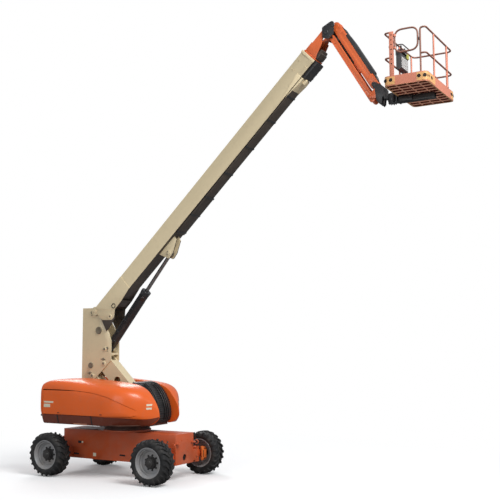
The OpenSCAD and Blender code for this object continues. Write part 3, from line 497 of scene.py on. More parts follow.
def line_tree():
    """Count copies of the seed in a straight line, the first at Start, each moved on by Step."""
    tree, source, goal = new_tree("copies_along_a_line", [
        ("Count", "NodeSocketInt"), ("Start", "NodeSocketVector"), ("Step", "NodeSocketVector"),
        ("Material", "NodeSocketMaterial")])
    line = tree.nodes.new("GeometryNodeMeshLine")
    copies = tree.nodes.new("GeometryNodeInstanceOnPoints")
    tree.links.new(source.outputs["Count"], line.inputs["Count"])
    tree.links.new(source.outputs["Start"], line.inputs["Start Location"])
    tree.links.new(source.outputs["Step"], line.inputs["Offset"])
    tree.links.new(line.outputs[0], copies.inputs["Points"])
    tree.links.new(source.outputs["Geometry"], copies.inputs["Instance"])
    return close_tree(tree, source, goal, copies.outputs[0])


RING, LINE = ring_tree(), line_tree()
print("trees:", [t.name for t in bpy.data.node_groups])

# %% Run a tree on a seed, and join pieces
def grown(name, seed, tree, **values):
    """Runs a tree on a seed object and keeps the result as a plain mesh object."""
    work = seed.copy()
    work.data = seed.data.copy()
    bpy.context.scene.collection.objects.link(work)
    grow = work.modifiers.new("grow", "NODES")
    grow.node_group = tree
    for item in tree.interface.items_tree:
        if item.in_out == "INPUT" and item.name in values:
            value = values[item.name]
            grow[item.identifier] = list(value) if isinstance(value, (Vector, tuple)) else value
    depsgraph = bpy.context.evaluated_depsgraph_get()
    result = bpy.data.objects.new(name, bpy.data.meshes.new_from_object(work.evaluated_get(depsgraph)))
    bpy.data.objects.remove(work)
    return result


def joined(name, *objects):
    """Several mesh objects made into one, each part keeping its own material."""
    bm = bmesh.new()
    materials = []
    for obj in objects:
        start = len(bm.faces)
        bm.from_mesh(obj.data)
        bm.faces.ensure_lookup_table()
        own = next((m for m in obj.data.materials if m), None)
        if own not in materials:
            materials.append(own)
        for face in bm.faces[start:]:
            face.material_index = materials.index(own)
    mesh = bpy.data.meshes.new(name)
    bm.to_mesh(mesh)
    bm.free()
    for material in materials:
        mesh.materials.append(material)
    for obj in objects:
        bpy.data.objects.remove(obj)
    return bpy.data.objects.new(name, mesh)


print("seeds can be grown and joined")

# %% [markdown]
# ## Wheels
# A lift like this stands on wide tyres with deep lugs. A tread lug starts near the middle of the
# tread, slants to the shoulder and runs down the side wall, and the left and right lugs are
# staggered. One pair is lofted from a few stations and set round the wheel by the ring tree. A
# texture of lugs would cost less, but the tyre's outline would stay smooth. Each wheel is first made
# about its own axle, with Z pointing outwards, then turned to its place.

# %% Turned shapes and the turn that puts a wheel in place
def lathe(name, profile, steps=72):
    """Turns a closed profile of (z, radius) points about Z."""
    bm = bmesh.new()
    rings = []
    for k in range(steps):
        turn = 2 * math.pi * k / steps
        rings.append([bm.verts.new((r * math.cos(turn), r * math.sin(turn), z)) for z, r in profile])
    for k in range(steps):
        here, there = rings[k], rings[(k + 1) % steps]
        for i in range(len(profile)):
            j = (i + 1) % len(profile)
            bm.faces.new((here[i], here[j], there[j], there[i]))
    bmesh.ops.remove_doubles(bm, verts=bm.verts, dist=1e-6)
    bmesh.ops.dissolve_degenerate(bm, dist=1e-6, edges=bm.edges)
    return mesh_object(name, bm)


def wheel_place(name):
    """Turns Z outwards on that side and moves to that wheel's centre."""
    side = 1 if WHEELS[name].y > 0 else -1
    return Matrix.Translation(WHEELS[name]) @ Matrix.Rotation(-side * math.pi / 2, 4, "X")


def placed_copy(obj, name, matrix):
    """A copy of a mesh object with its place in its mesh."""
    copy = bpy.data.objects.new(name, obj.data.copy())
    copy.data.transform(matrix)
    return copy


print("wheel centres:", {n: tuple(round(v, 3) for v in at) for n, at in WHEELS.items()})

# %% Tyre carcass and lugs
HALF = TYRE_W / 2
TREAD_R, LUG_TOP = TYRE_R - 0.030, TYRE_R - 0.001
RIM_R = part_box("rim_front_left")[1].z - WHEELS["front_left"].z
LUGS, SLANT, LUG_TAPER = 22, 0.24, 0.78
carcass_profile = [
    (-HALF + 0.030, RIM_R), (-HALF + 0.006, RIM_R + 0.030), (-HALF, RIM_R + 0.075),
    (-HALF + 0.004, TREAD_R - 0.055), (-HALF + 0.026, TREAD_R - 0.018), (-HALF + 0.070, TREAD_R - 0.004),
    (0, TREAD_R), (HALF - 0.070, TREAD_R - 0.004), (HALF - 0.026, TREAD_R - 0.018),
    (HALF - 0.004, TREAD_R - 0.055), (HALF, RIM_R + 0.075), (HALF - 0.006, RIM_R + 0.030),
    (HALF - 0.030, RIM_R)]


def lug(side, shift):
    """One lug lofted from the tread's middle, over the shoulder and down the side wall."""
    stations = [  # share of slant, z, root radius, top radius, half width
        (0.00, 0.008, TREAD_R - 0.006, LUG_TOP - 0.002, 0.021),
        (0.45, 0.070, TREAD_R - 0.008, LUG_TOP, 0.024),
        (0.95, HALF - 0.052, TREAD_R - 0.014, LUG_TOP - 0.002, 0.028),
        (1.05, HALF - 0.016, TREAD_R - 0.030, LUG_TOP - 0.018, 0.030),
        (1.08, HALF + 0.001, TREAD_R - 0.062, TREAD_R - 0.045, 0.027),
        (1.09, HALF - 0.001, TREAD_R - 0.100, TREAD_R - 0.094, 0.020)]
    bm = bmesh.new()
    rows = []
    for share, z, root, top, wide in stations:
        turn = shift + SLANT * share
        inner = 0.010 if z > HALF - 0.02 else 0.0
        row = []
        for r, w in ((root, -wide), (root, wide), (top, wide * LUG_TAPER), (top, -wide * LUG_TAPER)):
            a = turn + w / r
            row.append(bm.verts.new((r * math.cos(a), r * math.sin(a),
                                     side * (z - (inner if r == root else 0)))))
        rows.append(row)
    for here, there in zip(rows, rows[1:]):
        for i in range(4):
            bm.faces.new((here[i], here[(i + 1) % 4], there[(i + 1) % 4], there[i]))
    bm.faces.new(rows[0])
    bm.faces.new(rows[-1])
    bmesh.ops.recalc_face_normals(bm, faces=bm.faces)
    soften(bm, 0.004, 1, 30)
    return mesh_object("lug", bm)


pitch = 2 * math.pi / LUGS
lug_pair = joined("lug_pair", lug(1, 0), lug(-1, pitch / 2))
treads = grown("tread", lug_pair, RING, Count=LUGS, Material=TYRE)
carcass = lathe("carcass", carcass_profile, 96)
carcass.data.materials.append(TYRE)
tyre_master = joined("tyre_master", carcass, treads)
print("tyre faces:", len(tyre_master.data.polygons))

# %% Rim: a lip, a stepped barrel and a dished disc
DISC = 0.020
rim_profile = [
    (HALF - 0.016, RIM_R + 0.014), (HALF - 0.012, RIM_R + 0.008), (HALF - 0.014, RIM_R - 0.004),
    (HALF - 0.040, RIM_R - 0.016), (HALF - 0.062, RIM_R - 0.020), (HALF - 0.070, RIM_R - 0.040),
    (HALF - 0.125, RIM_R - 0.046), (HALF - 0.135, RIM_R - 0.066), (DISC + 0.022, RIM_R - 0.074),
    (DISC + 0.009, RIM_R - 0.086), (DISC + 0.009, 0.134), (DISC - 0.009, 0.134),
    (DISC - 0.009, RIM_R - 0.080), (DISC - 0.030, RIM_R - 0.058), (-HALF + 0.100, RIM_R - 0.024),
    (-HALF + 0.030, RIM_R - 0.018), (-HALF + 0.014, RIM_R - 0.004), (-HALF + 0.012, RIM_R + 0.010),
    (-HALF + 0.017, RIM_R + 0.014), (-HALF + 0.024, RIM_R - 0.0015), (HALF - 0.024, RIM_R - 0.0015)]
rim_master = lathe("rim_master", rim_profile, 72)
rim_master.data.materials.append(RIM_GREY)
print("rim lip radius", round(RIM_R + 0.014, 3))

# %% Planetary hub: flange with nuts, drum, cover and plug
HUB_R, HUB_OUT = 0.142, HALF - 0.030
hub_profile = [
    (DISC - 0.028, 0.079), (DISC - 0.028, 0.131), (DISC + 0.010, 0.131), (DISC + 0.010, HUB_R),
    (DISC + 0.030, HUB_R), (DISC + 0.036, HUB_R - 0.006), (DISC + 0.038, 0.133), (DISC + 0.050, 0.131),
    (0.098, 0.129), (0.104, 0.126), (0.104, 0.108), (0.112, 0.104), (0.140, 0.101), (0.147, 0.094),
    (0.149, 0.060), (0.156, 0.057), (HUB_OUT - 0.002, 0.052), (HUB_OUT, 0.046), (HUB_OUT, 0.0),
    (0.010, 0.0), (0.010, 0.079)]
hub_body = lathe("hub_body", hub_profile, 48)
hub_body.data.materials.append(HUB_BLACK)
print("hub sticks out to", round(HUB_OUT, 3))

# %% Bolts, and the hub's own nuts
def bolt(name, r, head, at, washer=0.0, sides=6, material=None):
    """A hexagonal head on a washer, standing up along Z at a point."""
    bm = bmesh.new()
    parts = [(sides, r, head)]
    if washer:
        parts.append((16, r * 1.45, washer))
    for count, radius, tall in parts:
        made = bmesh.ops.create_cone(bm, cap_ends=True, segments=count, radius1=radius,
                                     radius2=radius * 0.96, depth=tall)
        bmesh.ops.translate(bm, verts=made["verts"], vec=Vector(at) + Vector((0, 0, tall / 2)))
    obj = mesh_object(name, bm)
    if material:
        obj.data.materials.append(material)
    return obj


nut = bolt("nut", 0.017, 0.030, (0.166, 0, DISC + 0.008), 0.004)
drum_bolt = bolt("head", 0.008, 0.008, (0.119, 0, 0.104))
cover_bolt = bolt("head", 0.006, 0.006, (0.078, 0, 0.1485))
nuts = grown("nuts", nut, RING, Count=9, Material=HUB_BLACK)
drum_bolts = grown("drum_bolts", drum_bolt, RING, Count=12, Material=HUB_BLACK)
cover_bolts = grown("cover_bolts", cover_bolt, RING, Count=8, Material=DARK_STEEL)
hub_master = joined("hub_master", hub_body, nuts, drum_bolts, cover_bolts)
print("hub faces:", len(hub_master.data.polygons))

# %% Four wheels
for wheel in WHEELS:
    place = wheel_place(wheel)
    for kind, master in (("tyre", tyre_master), ("rim", rim_master), ("hub", hub_master)):
        node = f"{kind}_{wheel}"
        settle(placed_copy(master, node + "_finished", place), None, "wheel_" + wheel, node)
for master in (tyre_master, rim_master, hub_master, lug_pair):
    bpy.data.objects.remove(master)
print("wheels placed:", len(WHEELS))

# %% [markdown]
# ## Cutting tools
# Most plates, openings and hollows on the machine are a flat outline with some thickness. So an
# outline with rounded corners is drawn out into a solid, and an exact Boolean takes one solid from
# another. Pushing vertices about by hand would be quicker once, but it would not follow the frame
# when a size changes.

# %% Outlines, prisms, slabs and an exact Boolean
def rounded(outline, radii, steps=5):
    """An outline with its corners rounded, one radius for all or one each."""
    radii = radii if isinstance(radii, (list, tuple)) else [radii] * len(outline)
    points = []
    for i, radius in enumerate(radii):
        a, b, c = (Vector(outline[k % len(outline)]) for k in (i - 1, i, i + 1))
        back, on = (a - b), (c - b)
        reach = min(radius, back.length * 0.48, on.length * 0.48)
        start, end = b + back.normalized() * reach, b + on.normalized() * reach
        if reach < 1e-5:
            points.append(tuple(b))
            continue
        for k in range(steps + 1):
            t = k / steps
            points.append(tuple(start * (1 - t) ** 2 + b * 2 * t * (1 - t) + end * t * t))
    return points


def prism(name, outline, start, end, axis="Y", bevel=0.0):
    """A solid with the outline as its end face: (x, z) along Y, (y, z) along X, (x, y) along Z."""
    bm = bmesh.new()
    ends = []
    for level in (start, end):
        if axis == "Y":
            ends.append([bm.verts.new((a, level, b)) for a, b in outline])
        elif axis == "X":
            ends.append([bm.verts.new((level, a, b)) for a, b in outline])
        else:
            ends.append([bm.verts.new((a, b, level)) for a, b in outline])
    bm.faces.new(ends[0])
    bm.faces.new(ends[1])
    for i in range(len(outline)):
        j = (i + 1) % len(outline)
        bm.faces.new((ends[0][i], ends[0][j], ends[1][j], ends[1][i]))
    bmesh.ops.recalc_face_normals(bm, faces=bm.faces)
    soften(bm, bevel, 2, 40)
    return mesh_object(name, bm)


def cut(obj, tool, operation="DIFFERENCE"):
    """Applies an exact Boolean and throws the tool away."""
    for part in (obj, tool):
        if part.name not in bpy.context.scene.collection.objects:
            bpy.context.scene.collection.objects.link(part)
    change = obj.modifiers.new("cut", "BOOLEAN")
    change.operation, change.solver, change.object = operation, "EXACT", tool
    depsgraph = bpy.context.evaluated_depsgraph_get()
    mesh = bpy.data.meshes.new_from_object(obj.evaluated_get(depsgraph))
    obj.modifiers.clear()
    obj.data = mesh
    bpy.data.objects.remove(tool)
    return obj


def slab(name, low, high, bevel=0.0, steps=2):
    """A plain plate between two corners, its edges rounded."""
    low, high = Vector(low), Vector(high)
    bm = bmesh.new()
    bmesh.ops.create_cube(bm, size=1.0)
    bmesh.ops.scale(bm, verts=bm.verts, vec=[abs(v) for v in high - low])
    bmesh.ops.translate(bm, verts=bm.verts, vec=(low + high) / 2)
    soften(bm, bevel, steps, 40)
    return mesh_object(name, bm)


def resharpen(obj, angle=32):
    """Smooth shading again after a Boolean."""
    obj.data.shade_smooth()
    obj.data.set_sharp_from_angle(angle=math.radians(angle))
    return obj


print("cutting tools ready")

# %% [markdown]
# ## Bolts, pipes and turned pieces
# The last set of tools makes what sits on the plates. Hexagon heads are stamped out at a list of
# points. A pipe is swept along a list of corners, each bent to a radius, which is how a rail or a
# steel line is bent in the shop. A turned piece is a profile spun about its own axis and then aimed.

# %% Helpers for what sits on the plates
def aimed(obj, at, outward):
    """Turns a piece made standing up along Z so that it stands out from a point."""
    turn = Vector((0, 0, 1)).rotation_difference(Vector(outward)).to_matrix().to_4x4()
    obj.data.transform(Matrix.Translation(at) @ turn)
    return obj


def with_finish(obj, material):
    """Gives a piece one finish."""
    obj.data.materials.clear()
    obj.data.materials.append(material)
    return obj


def studs(name, places, outward, r, head, material, washer=0.003):
    """Hexagon heads at a list of points, all standing out the same way."""
    heads = [aimed(bolt("head", r, head, (0, 0, 0), washer, 6, material), at, outward) for at in places]
    return joined(name, *heads)


def turned(name, at, outward, profile, material, steps=40):
    """A boss, plug or pin head: a profile of (height, radius) spun about the outward direction."""
    return with_finish(aimed(lathe(name, profile, steps), at, outward), material)


def disc(low, high, r, top=None):
    """The profile of a round plate between two heights, its upper rim smaller if asked."""
    return [(low, 0.0), (low, r), (high, top or r), (high, 0.0)]


def bent(points, bend, closed=False, steps=6):
    """A list of corners with each corner bent to a radius."""
    points = [Vector(p) for p in points]
    path = []
    for i, corner in enumerate(points):
        if not closed and i in (0, len(points) - 1):
            path.append(corner)
            continue
        back, on = points[i - 1] - corner, points[(i + 1) % len(points)] - corner
        reach = min(bend, back.length * 0.49, on.length * 0.49)
        if reach < 1e-5:
            path.append(corner)
            continue
        start, end = corner + back.normalized() * reach, corner + on.normalized() * reach
        for k in range(steps + 1):
            t = k / steps
            path.append(start * (1 - t) ** 2 + corner * 2 * t * (1 - t) + end * t * t)
    return path


def pipe(name, points, radius, bend=0.0, closed=False, sides=12, material=None):
    """A round bar or tube swept along bent corners, its ends capped."""
    path = bent(points, bend, closed)
    last = len(path) - 1
    bm = bmesh.new()
    rings = []
    side = None
    for i, at in enumerate(path):
        before = path[i - 1] if i or closed else at
        after = path[(i + 1) % len(path)] if i < last or closed else at
        flow = (after - before).normalized()
        side = flow.orthogonal() if side is None else side
        side = (side - flow * side.dot(flow)).normalized()
        up = flow.cross(side)
        turns = [2 * math.pi * k / sides for k in range(sides)]
        rings.append([bm.verts.new(at + (side * math.cos(a) + up * math.sin(a)) * radius) for a in turns])
    for here, there in zip(rings, rings[1:] + (rings[:1] if closed else [])):
        for k in range(sides):
            j = (k + 1) % sides
            bm.faces.new((here[k], here[j], there[j], there[k]))
    if not closed:
        bm.faces.new(rings[0])
        bm.faces.new(rings[-1])
    obj = mesh_object(name, bm, 50)
    return with_finish(obj, material) if material else obj


def plate(name, outline, y0, y1, material, bevel=0.003):
    """A side-view outline made into a plate between two places across the machine."""
    return with_finish(prism(name, [tuple(p) for p in outline], y0, y1, "Y", bevel), material)


def xz(v):
    """A point's side-view place."""
    return (v.x, v.z)


print("helpers for bolts, pipes and turned pieces ready")

# %% [markdown]
# ## Hoods and their doors
# The two hoods are thin mouldings, smooth in every direction, so flat plates won't do. A hood is
# lofted: a list of stations gives its underside, its crown and its width along the machine, a curve
# is run through them, and one cross-section is fitted to each. A second, slightly smaller loft makes
# the hollow. The door is then cut out of the same shell, so hood and door share one surface and
# meet at an even gap. Working on a subdivided cube would lose that exact gap.

# %% Stations and cross-section of a hood
HOOD_LOW, HOOD_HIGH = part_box("hood_left")
HOOD_SIZE = HOOD_HIGH - HOOD_LOW
TAIL, NOSE, SLOT_Y = HOOD_LOW.x, HOOD_HIGH.x, HOOD_LOW.y
SIDE_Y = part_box("door_left")[1].y
STATIONS = [  # metres from the tail, underside and crown above the foot, width as a share
    (0.000, 0.300, 0.800, 0.870), (0.004, 0.225, 0.860, 0.900), (0.015, 0.195, 0.890, 0.940),
    (0.030, 0.170, 0.910, 0.965), (0.055, 0.090, 0.955, 0.985), (0.080, 0.045, 0.985, 1.0),
    (0.100, 0.005, 1.000, 1.0), (0.150, 0.0, 1.020, 1.0), (0.260, 0.0, 1.046, 1.0), (0.520, 0.0, 1.062, 1.0),
    (0.800, 0.0, 1.069, 1.0), (1.200, 0.0, 1.056, 1.0), (1.600, 0.0, 1.030, 1.0), (1.950, 0.0, 1.000, 1.0),
    (2.215, 0.0, 0.974, 0.960), (2.395, 0.0, 0.945, 0.880), (2.530, 0.0, 0.902, 0.785),
    (2.640, 0.0, 0.848, 0.665), (2.735, 0.006, 0.778, 0.530), (2.810, 0.022, 0.692, 0.385),
    (2.875, 0.048, 0.610, 0.262), (2.930, 0.085, 0.525, 0.165), (2.975, 0.125, 0.440, 0.095),
    (3.005, 0.160, 0.360, 0.050), (3.018, 0.180, 0.300, 0.030), (3.025, 0.190, 0.250, 0.020)]
SECTION = [  # share of the width, share of the height, from the foot round to the crown
    (0, 0), (0.4, 0), (0.8, 0), (0.885, 0.004), (0.915, 0.02), (0.935, 0.06), (0.955, 0.12), (0.972, 0.17),
    (0.984, 0.205), (0.993, 0.22), (0.998, 0.27), (1, 0.36), (1, 0.46), (0.997, 0.56), (0.991, 0.64),
    (0.979, 0.71), (0.958, 0.765), (0.925, 0.82), (0.88, 0.864), (0.81, 0.905), (0.72, 0.938), (0.6, 0.965),
    (0.45, 0.984), (0.25, 0.995), (0.05, 1), (0.014, 0.998), (0, 0.986)]
BOXY = SECTION[:11] + [  # the squarer section of the tail
    (1, 0.42), (1, 0.56), (1, 0.67), (0.999, 0.76), (0.997, 0.83), (0.990, 0.885), (0.972, 0.93),
    (0.935, 0.962), (0.88, 0.980), (0.80, 0.990), (0.66, 0.996), (0.48, 0.999), (0.25, 1), (0.05, 1),
    (0.014, 0.998), (0, 0.986)]
SKIRT_STEPS = 9  # points of the section that belong to the tucked-in skirt
BOXY_END, BOXY_FADE, BOXY_MOST = 1.5, 1.3, 0.85  # the squarer section fades out before this length
TUCK_FROM, TUCK_FADE, TUCK_MOST, TUCK_UP = 1.9, 0.8, 0.34, 0.28  # the nose is drawn in at its foot
SKIRT = painted("hood_skirt_in_shade", (0.17, 0.030, 0.010), 0.45, wear=0.0, coat=0.05)
print("hood stations:", len(STATIONS), "points in a section:", len(SECTION))

# %% The lofted surface of a hood
def flowing(rows, steps):
    """A Catmull-Rom curve through rows of numbers, as many steps between each pair."""
    rows = np.array(rows, dtype=float)
    padded = np.vstack([2 * rows[0] - rows[1], rows, 2 * rows[-1] - rows[-2]])
    out = []
    for i in range(len(rows) - 1):
        a, b, c, d = padded[i:i + 4]
        for t in np.arange(steps) / steps:
            out.append(0.5 * (2 * b + (c - a) * t + (2 * a - 5 * b + 4 * c - d) * t * t
                              + (3 * b - a - 3 * c + d) * t ** 3))
    return np.array(out + [rows[-1]])


HOOD_RUN = flowing(STATIONS, 3)
HOOD_RUN[:, 1] = HOOD_RUN[:, 1].clip(0)
HOOD_RUN[:, 3] = HOOD_RUN[:, 3].clip(0.02, 1)


def hood_loft(side, inset=0.0):
    """A closed loft of one hood, shrunk towards its middle for the hollow inside."""
    middle = (HOOD_LOW + HOOD_HIGH) / 2
    shrink = Vector([1 - 2 * inset / v for v in HOOD_SIZE])
    bm = bmesh.new()
    rings = []
    for x, foot, crown, width in HOOD_RUN:
        ring = []
        boxy = float(np.clip((BOXY_END - x) / BOXY_FADE, 0, BOXY_MOST))
        tuck = float(np.clip((x - TUCK_FROM) / TUCK_FADE, 0, 1)) * TUCK_MOST
        for (across, up), (square, high) in zip(SECTION, BOXY):
            across, up = across + (square - across) * boxy, up + (high - up) * boxy
            across *= 1 - tuck * max(0, 1 - up / TUCK_UP)
            at = Vector((TAIL + x, SLOT_Y + (SIDE_Y - SLOT_Y) * width * across,
                         HOOD_LOW.z + foot + (crown - foot) * up))
            at = middle + Vector([o * s for o, s in zip(at - middle, shrink)])
            ring.append(bm.verts.new((at.x, side * at.y, at.z)))
        rings.append(ring)
    for here, there in zip(rings, rings[1:]):
        for i in range(len(SECTION)):
            j = (i + 1) % len(SECTION)
            face = bm.faces.new((here[i], here[j], there[j], there[i]))
            face.material_index = 1 if 2 <= i < SKIRT_STEPS else 0
    bm.faces.new(rings[0])
    bm.faces.new(rings[-1])
    bmesh.ops.recalc_face_normals(bm, faces=bm.faces)
    if inset:
        bmesh.ops.reverse_faces(bm, faces=bm.faces)
    return bm


def side_of_hood(x, z):
    """How far out the hood's side lies at a length and a height."""
    foot, crown, width = (np.interp(x - TAIL, HOOD_RUN[:, 0], HOOD_RUN[:, k]) for k in (1, 2, 3))
    share = (z - HOOD_LOW.z - foot) / (crown - foot)
    boxy = float(np.clip((BOXY_END - x + TAIL) / BOXY_FADE, 0, BOXY_MOST))
    ups = [a[1] + (b[1] - a[1]) * boxy for a, b in zip(SECTION[2:-2], BOXY[2:-2])]
    acrosses = [a[0] + (b[0] - a[0]) * boxy for a, b in zip(SECTION[2:-2], BOXY[2:-2])]
    return SLOT_Y + (SIDE_Y - SLOT_Y) * width * np.interp(share, ups, acrosses)


def patch(name, side, outline_x, low, high, proud, steps=8):
    """A thin piece that follows the hood's side between two heights."""
    bm = bmesh.new()
    rows = []
    zs = np.linspace(low, high, steps)
    for x in outline_x:
        rows.append([(x, side * side_of_hood(x, z), z) for z in zs]
                    + [(x, side * (side_of_hood(x, z) + proud), z) for z in reversed(zs)])
    grid = [[bm.verts.new(at) for at in row] for row in rows]
    for here, there in zip(grid, grid[1:]):
        for i in range(len(here)):
            j = (i + 1) % len(here)
            bm.faces.new((here[i], here[j], there[j], there[i]))
    bm.faces.new(grid[0])
    bm.faces.new(grid[-1])
    return mesh_object(name, bm)


print("hood runs from", round(TAIL, 3), "to", round(NOSE, 3))

# %% The door's outline, and a hollow hood
DOOR_LOW, DOOR_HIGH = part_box("door_left")
GAP, HINGE_GAP, WALL = 0.010, 0.014, 0.014
door_bottom, door_top, door_back = DOOR_LOW.z - GAP, DOOR_HIGH.z - 0.003, DOOR_LOW.x - GAP
door_outline = rounded([
    (door_back, door_bottom), (SLEW_X + 0.830, door_bottom), (SLEW_X + 0.945, door_bottom + 0.035),
    (SLEW_X + 0.985, door_bottom + 0.085), (SLEW_X + 0.925, door_bottom + 0.155),
    (SLEW_X + 0.780, door_bottom + 0.245), (SLEW_X + 0.600, door_bottom + 0.340),
    (SLEW_X + 0.330, door_bottom + 0.450), (SLEW_X, door_bottom + 0.525),
    (SLEW_X - 0.520, door_top - 0.020), (SLEW_X - 1.000, door_top), (door_back, door_top)],
    [0.05, 0.10, 0.08, 0.06, 0.10, 0.16, 0.2, 0.2, 0.3, 0.3, 0.2, 0.03])


def shrunk(outline, by):
    """An outline drawn in evenly along its own normals."""
    points = [Vector(p) for p in outline]
    moved = []
    for i, here in enumerate(points):
        flow = (points[(i + 1) % len(points)] - points[i - 1]).normalized()
        moved.append(tuple(here + Vector((-flow.y, flow.x)) * by))
    return moved


def hood_shell(side):
    """One hood as a hollow moulding, with the paint and the skirt's shade as its two finishes."""
    outer = mesh_object("shell", hood_loft(side))
    hollow = hood_loft(side, WALL)
    mesh = bpy.data.meshes.new("hollow")
    hollow.to_mesh(mesh)
    hollow.free()
    bm = bmesh.new()
    bm.from_mesh(outer.data)
    bm.from_mesh(mesh)
    bm.to_mesh(outer.data)
    bm.free()
    outer.data.materials.append(HOOD)
    outer.data.materials.append(SKIRT)
    return outer


print("points round a door:", len(door_outline))

# %% Hoods and doors cut from the same shell
for side, word in ((1, "left"), (-1, "right")):
    reach = sorted((side * (SLOT_Y + 0.47), side * (SIDE_Y + 0.06)))
    hood = cut(hood_shell(side), prism("cutter", door_outline, *reach))
    foot_hole = rounded([(TAIL + 0.13, SLOT_Y - 0.02), (TAIL + 0.13, SIDE_Y - 0.12),
                         (SLEW_X + 0.55, SIDE_Y - 0.12), (SLEW_X + 0.92, SLOT_Y + 0.38),
                         (SLEW_X + 0.92, SLOT_Y - 0.02)], 0.02, 2)
    foot_hole = [(x, side * y) for x, y in foot_hole]
    hood = cut(hood, prism("cutter", foot_hole, HOOD_LOW.z - 0.01, HOOD_LOW.z + 0.025, "Z"))
    hood.name = f"hood_{word}_finished"
    settle(resharpen(hood), None, BODY_OF[f"hood_{word}"], f"hood_{word}")
    panel = [(x, min(z, door_top - GAP - HINGE_GAP)) for x, z in shrunk(door_outline, GAP)]
    door = cut(hood_shell(side), prism("cutter", panel, *reach), "INTERSECT")
    door.name = f"door_{word}_finished"
    settle(resharpen(door), None, BODY_OF[f"door_{word}"], f"door_{word}")
    print(word, "hood faces", len(hood.data.polygons), "door faces", len(door.data.polygons))

# %% Straps, blank labels and latches
GROOVE_Z = HOOD_LOW.z + 0.215
LABEL = painted("label_cream_blank", (0.78, 0.72, 0.55), 0.5, wear=0.0, fade=0.02, coat=0.0)
for side, word in ((1, "left"), (-1, "right")):
    body = BODY_OF[f"hood_{word}"]
    fitted = []
    for x in (TAIL + 0.58, TAIL + 1.62):
        strap = patch("strap", side, [x - 0.014, x, x + 0.014], HOOD_LOW.z + 0.004, GROOVE_Z + 0.020, 0.008)
        fitted.append(with_finish(strap, BLACK))
    sill = patch("sill", side, np.linspace(TAIL + 1.05, TAIL + 1.46, 6), HOOD_LOW.z + 0.010,
                 HOOD_LOW.z + 0.042, 0.005, 4)
    fitted.append(with_finish(sill, CORNER_PALE))
    lamp_y = side * (side_of_hood(TAIL + 0.05, GROOVE_Z - 0.02) - 0.010)
    lamp_at = Vector((TAIL + 0.030, lamp_y, GROOVE_Z - 0.020))
    lens = [(0.0, 0.0), (0.0, 0.024), (0.010, 0.022), (0.014, 0.0)]
    fitted.append(turned("corner_lamp", lamp_at, (-0.5, side, 0), lens, BLACK, 20))
    nose_xs = np.linspace(NOSE - 0.190, NOSE - 0.115, 5)
    for z in (HOOD_LOW.z + 0.470, HOOD_LOW.z + 0.390):
        fitted.append(with_finish(patch("label", side, nose_xs, z, z + 0.045, 0.002, 3), LABEL))
    settle(joined(f"hood_{word}_fittings", *fitted), None, body, slot="hood_orange")
    on_door = []
    for x0, x1, z0, z1 in ((0.16, 0.46, 0.500, 0.540), (0.16, 0.36, 0.395, 0.475)):
        xs = np.linspace(TAIL + x0, TAIL + x1, 6)
        label = patch("label", side, xs, HOOD_LOW.z + z0, HOOD_LOW.z + z1, 0.002, 3)
        on_door.append(with_finish(label, LABEL))
    for x in (TAIL + 0.62, TAIL + 1.92):
        latch = patch("latch", side, [x - 0.030, x, x + 0.030], GROOVE_Z + 0.050, GROOVE_Z + 0.070, 0.005, 3)
        on_door.append(with_finish(latch, SKIRT))
    settle(joined(f"door_{word}_fittings", *on_door), None, BODY_OF[f"door_{word}"], slot="hood_orange")
    print(word, "hood fittings:", len(fitted), "door fittings:", len(on_door))

# %% Ribbed cover between the two noses
RIB_EVERY = 0.046
cover = [(0.440, 2.250), (0.620, 2.195), (0.780, 2.080), (0.900, 1.930), (0.985, 1.760), (1.035, 1.590),
         (1.040, 1.440), (1.000, 1.330), (0.930, 1.290)]
inner = [(x - 0.035 if i > 1 else x - 0.010, z - 0.030 if i < 6 else z) for i, (x, z) in enumerate(cover)]
outline = [(SLEW_X + x, z) for x, z in cover + inner[::-1]]
front = [plate("slot_cover", outline, -SLOT_Y + 0.020, SLOT_Y - 0.020, PLASTIC, 0.003)]
run = bent([Vector((SLEW_X + x, 0, z)) for x, z in cover], 0.08)
walked = 0.0
for here, there in zip(run, run[1:]):
    walked += (there - here).length
    if walked > RIB_EVERY:
        walked = 0.0
        rib = [there + Vector((0, y, 0)) for y in (-SLOT_Y + 0.025, SLOT_Y - 0.025)]
        front.append(pipe("slot_rib", rib, 0.013, material=HOSE, sides=10))
for y in (-0.22, -0.15, 0.10, 0.18, 0.25):
    hose = [Vector((SLEW_X + x + 0.022, y, z + 0.016)) for x, z in cover[1:-1]]
    front.append(pipe("slot_hose", hose, 0.014, 0.10, material=HOSE, sides=8))
settle(joined("slot_cover", *front), None, "turntable", slot="black_paint")
print("pieces of the cover:", len(front))

# %% [markdown]
# ## Tower and lift cylinder
# Two links carry an upright that always stays vertical, and the boom turns on its top. The upright
# is two thick plates, so what tells its size is what is bolted on: plugs over the bores, pins with a
# keeper bolt beside them, and the heavy cylinder between the plates. These are turned or stamped
# pieces set at the pins, because drawing them into the plates would leave soft, melted shapes.

# %% Paints of the tower
# A dark brown painted shade for the undersides of the boom and the jib, and for what hangs below them.
UNDERSIDE_SHADE = painted("underside_painted_shade", (0.055, 0.040, 0.030), 0.5, wear=0.2, coat=0.1, fade=0.35)
PLUG = painted("plug_olive_grey", (0.19, 0.16, 0.11), 0.5, wear=0.4, coat=0.1, fade=0.2)
ROD = bare_metal("lift_rod_grey", (0.34, 0.32, 0.31), 0.24, 220)
print("materials:", len(bpy.data.materials))

# %% Upright and links
BOOM_PIN, LIFT_PIN, LINK_PIN = (joint_at(n) for n in ("boom_lift", "cylinder_turn", "tower_level"))
TIMING_PIN = joint_at("timing_turn") + LINK_PIN - joint_at("tower_lift")
LINK_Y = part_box("lift_link")[1].y
UPRIGHT_Y = LINK_Y + 0.034
for node in ("upright", "lift_link", "timing_link"):
    softened(node, CREAM, 0.003, 1)


def beside(pin, dx, dz, y):
    """A point on a plate's face, given from a pin."""
    return pin + Vector((dx, y, dz))


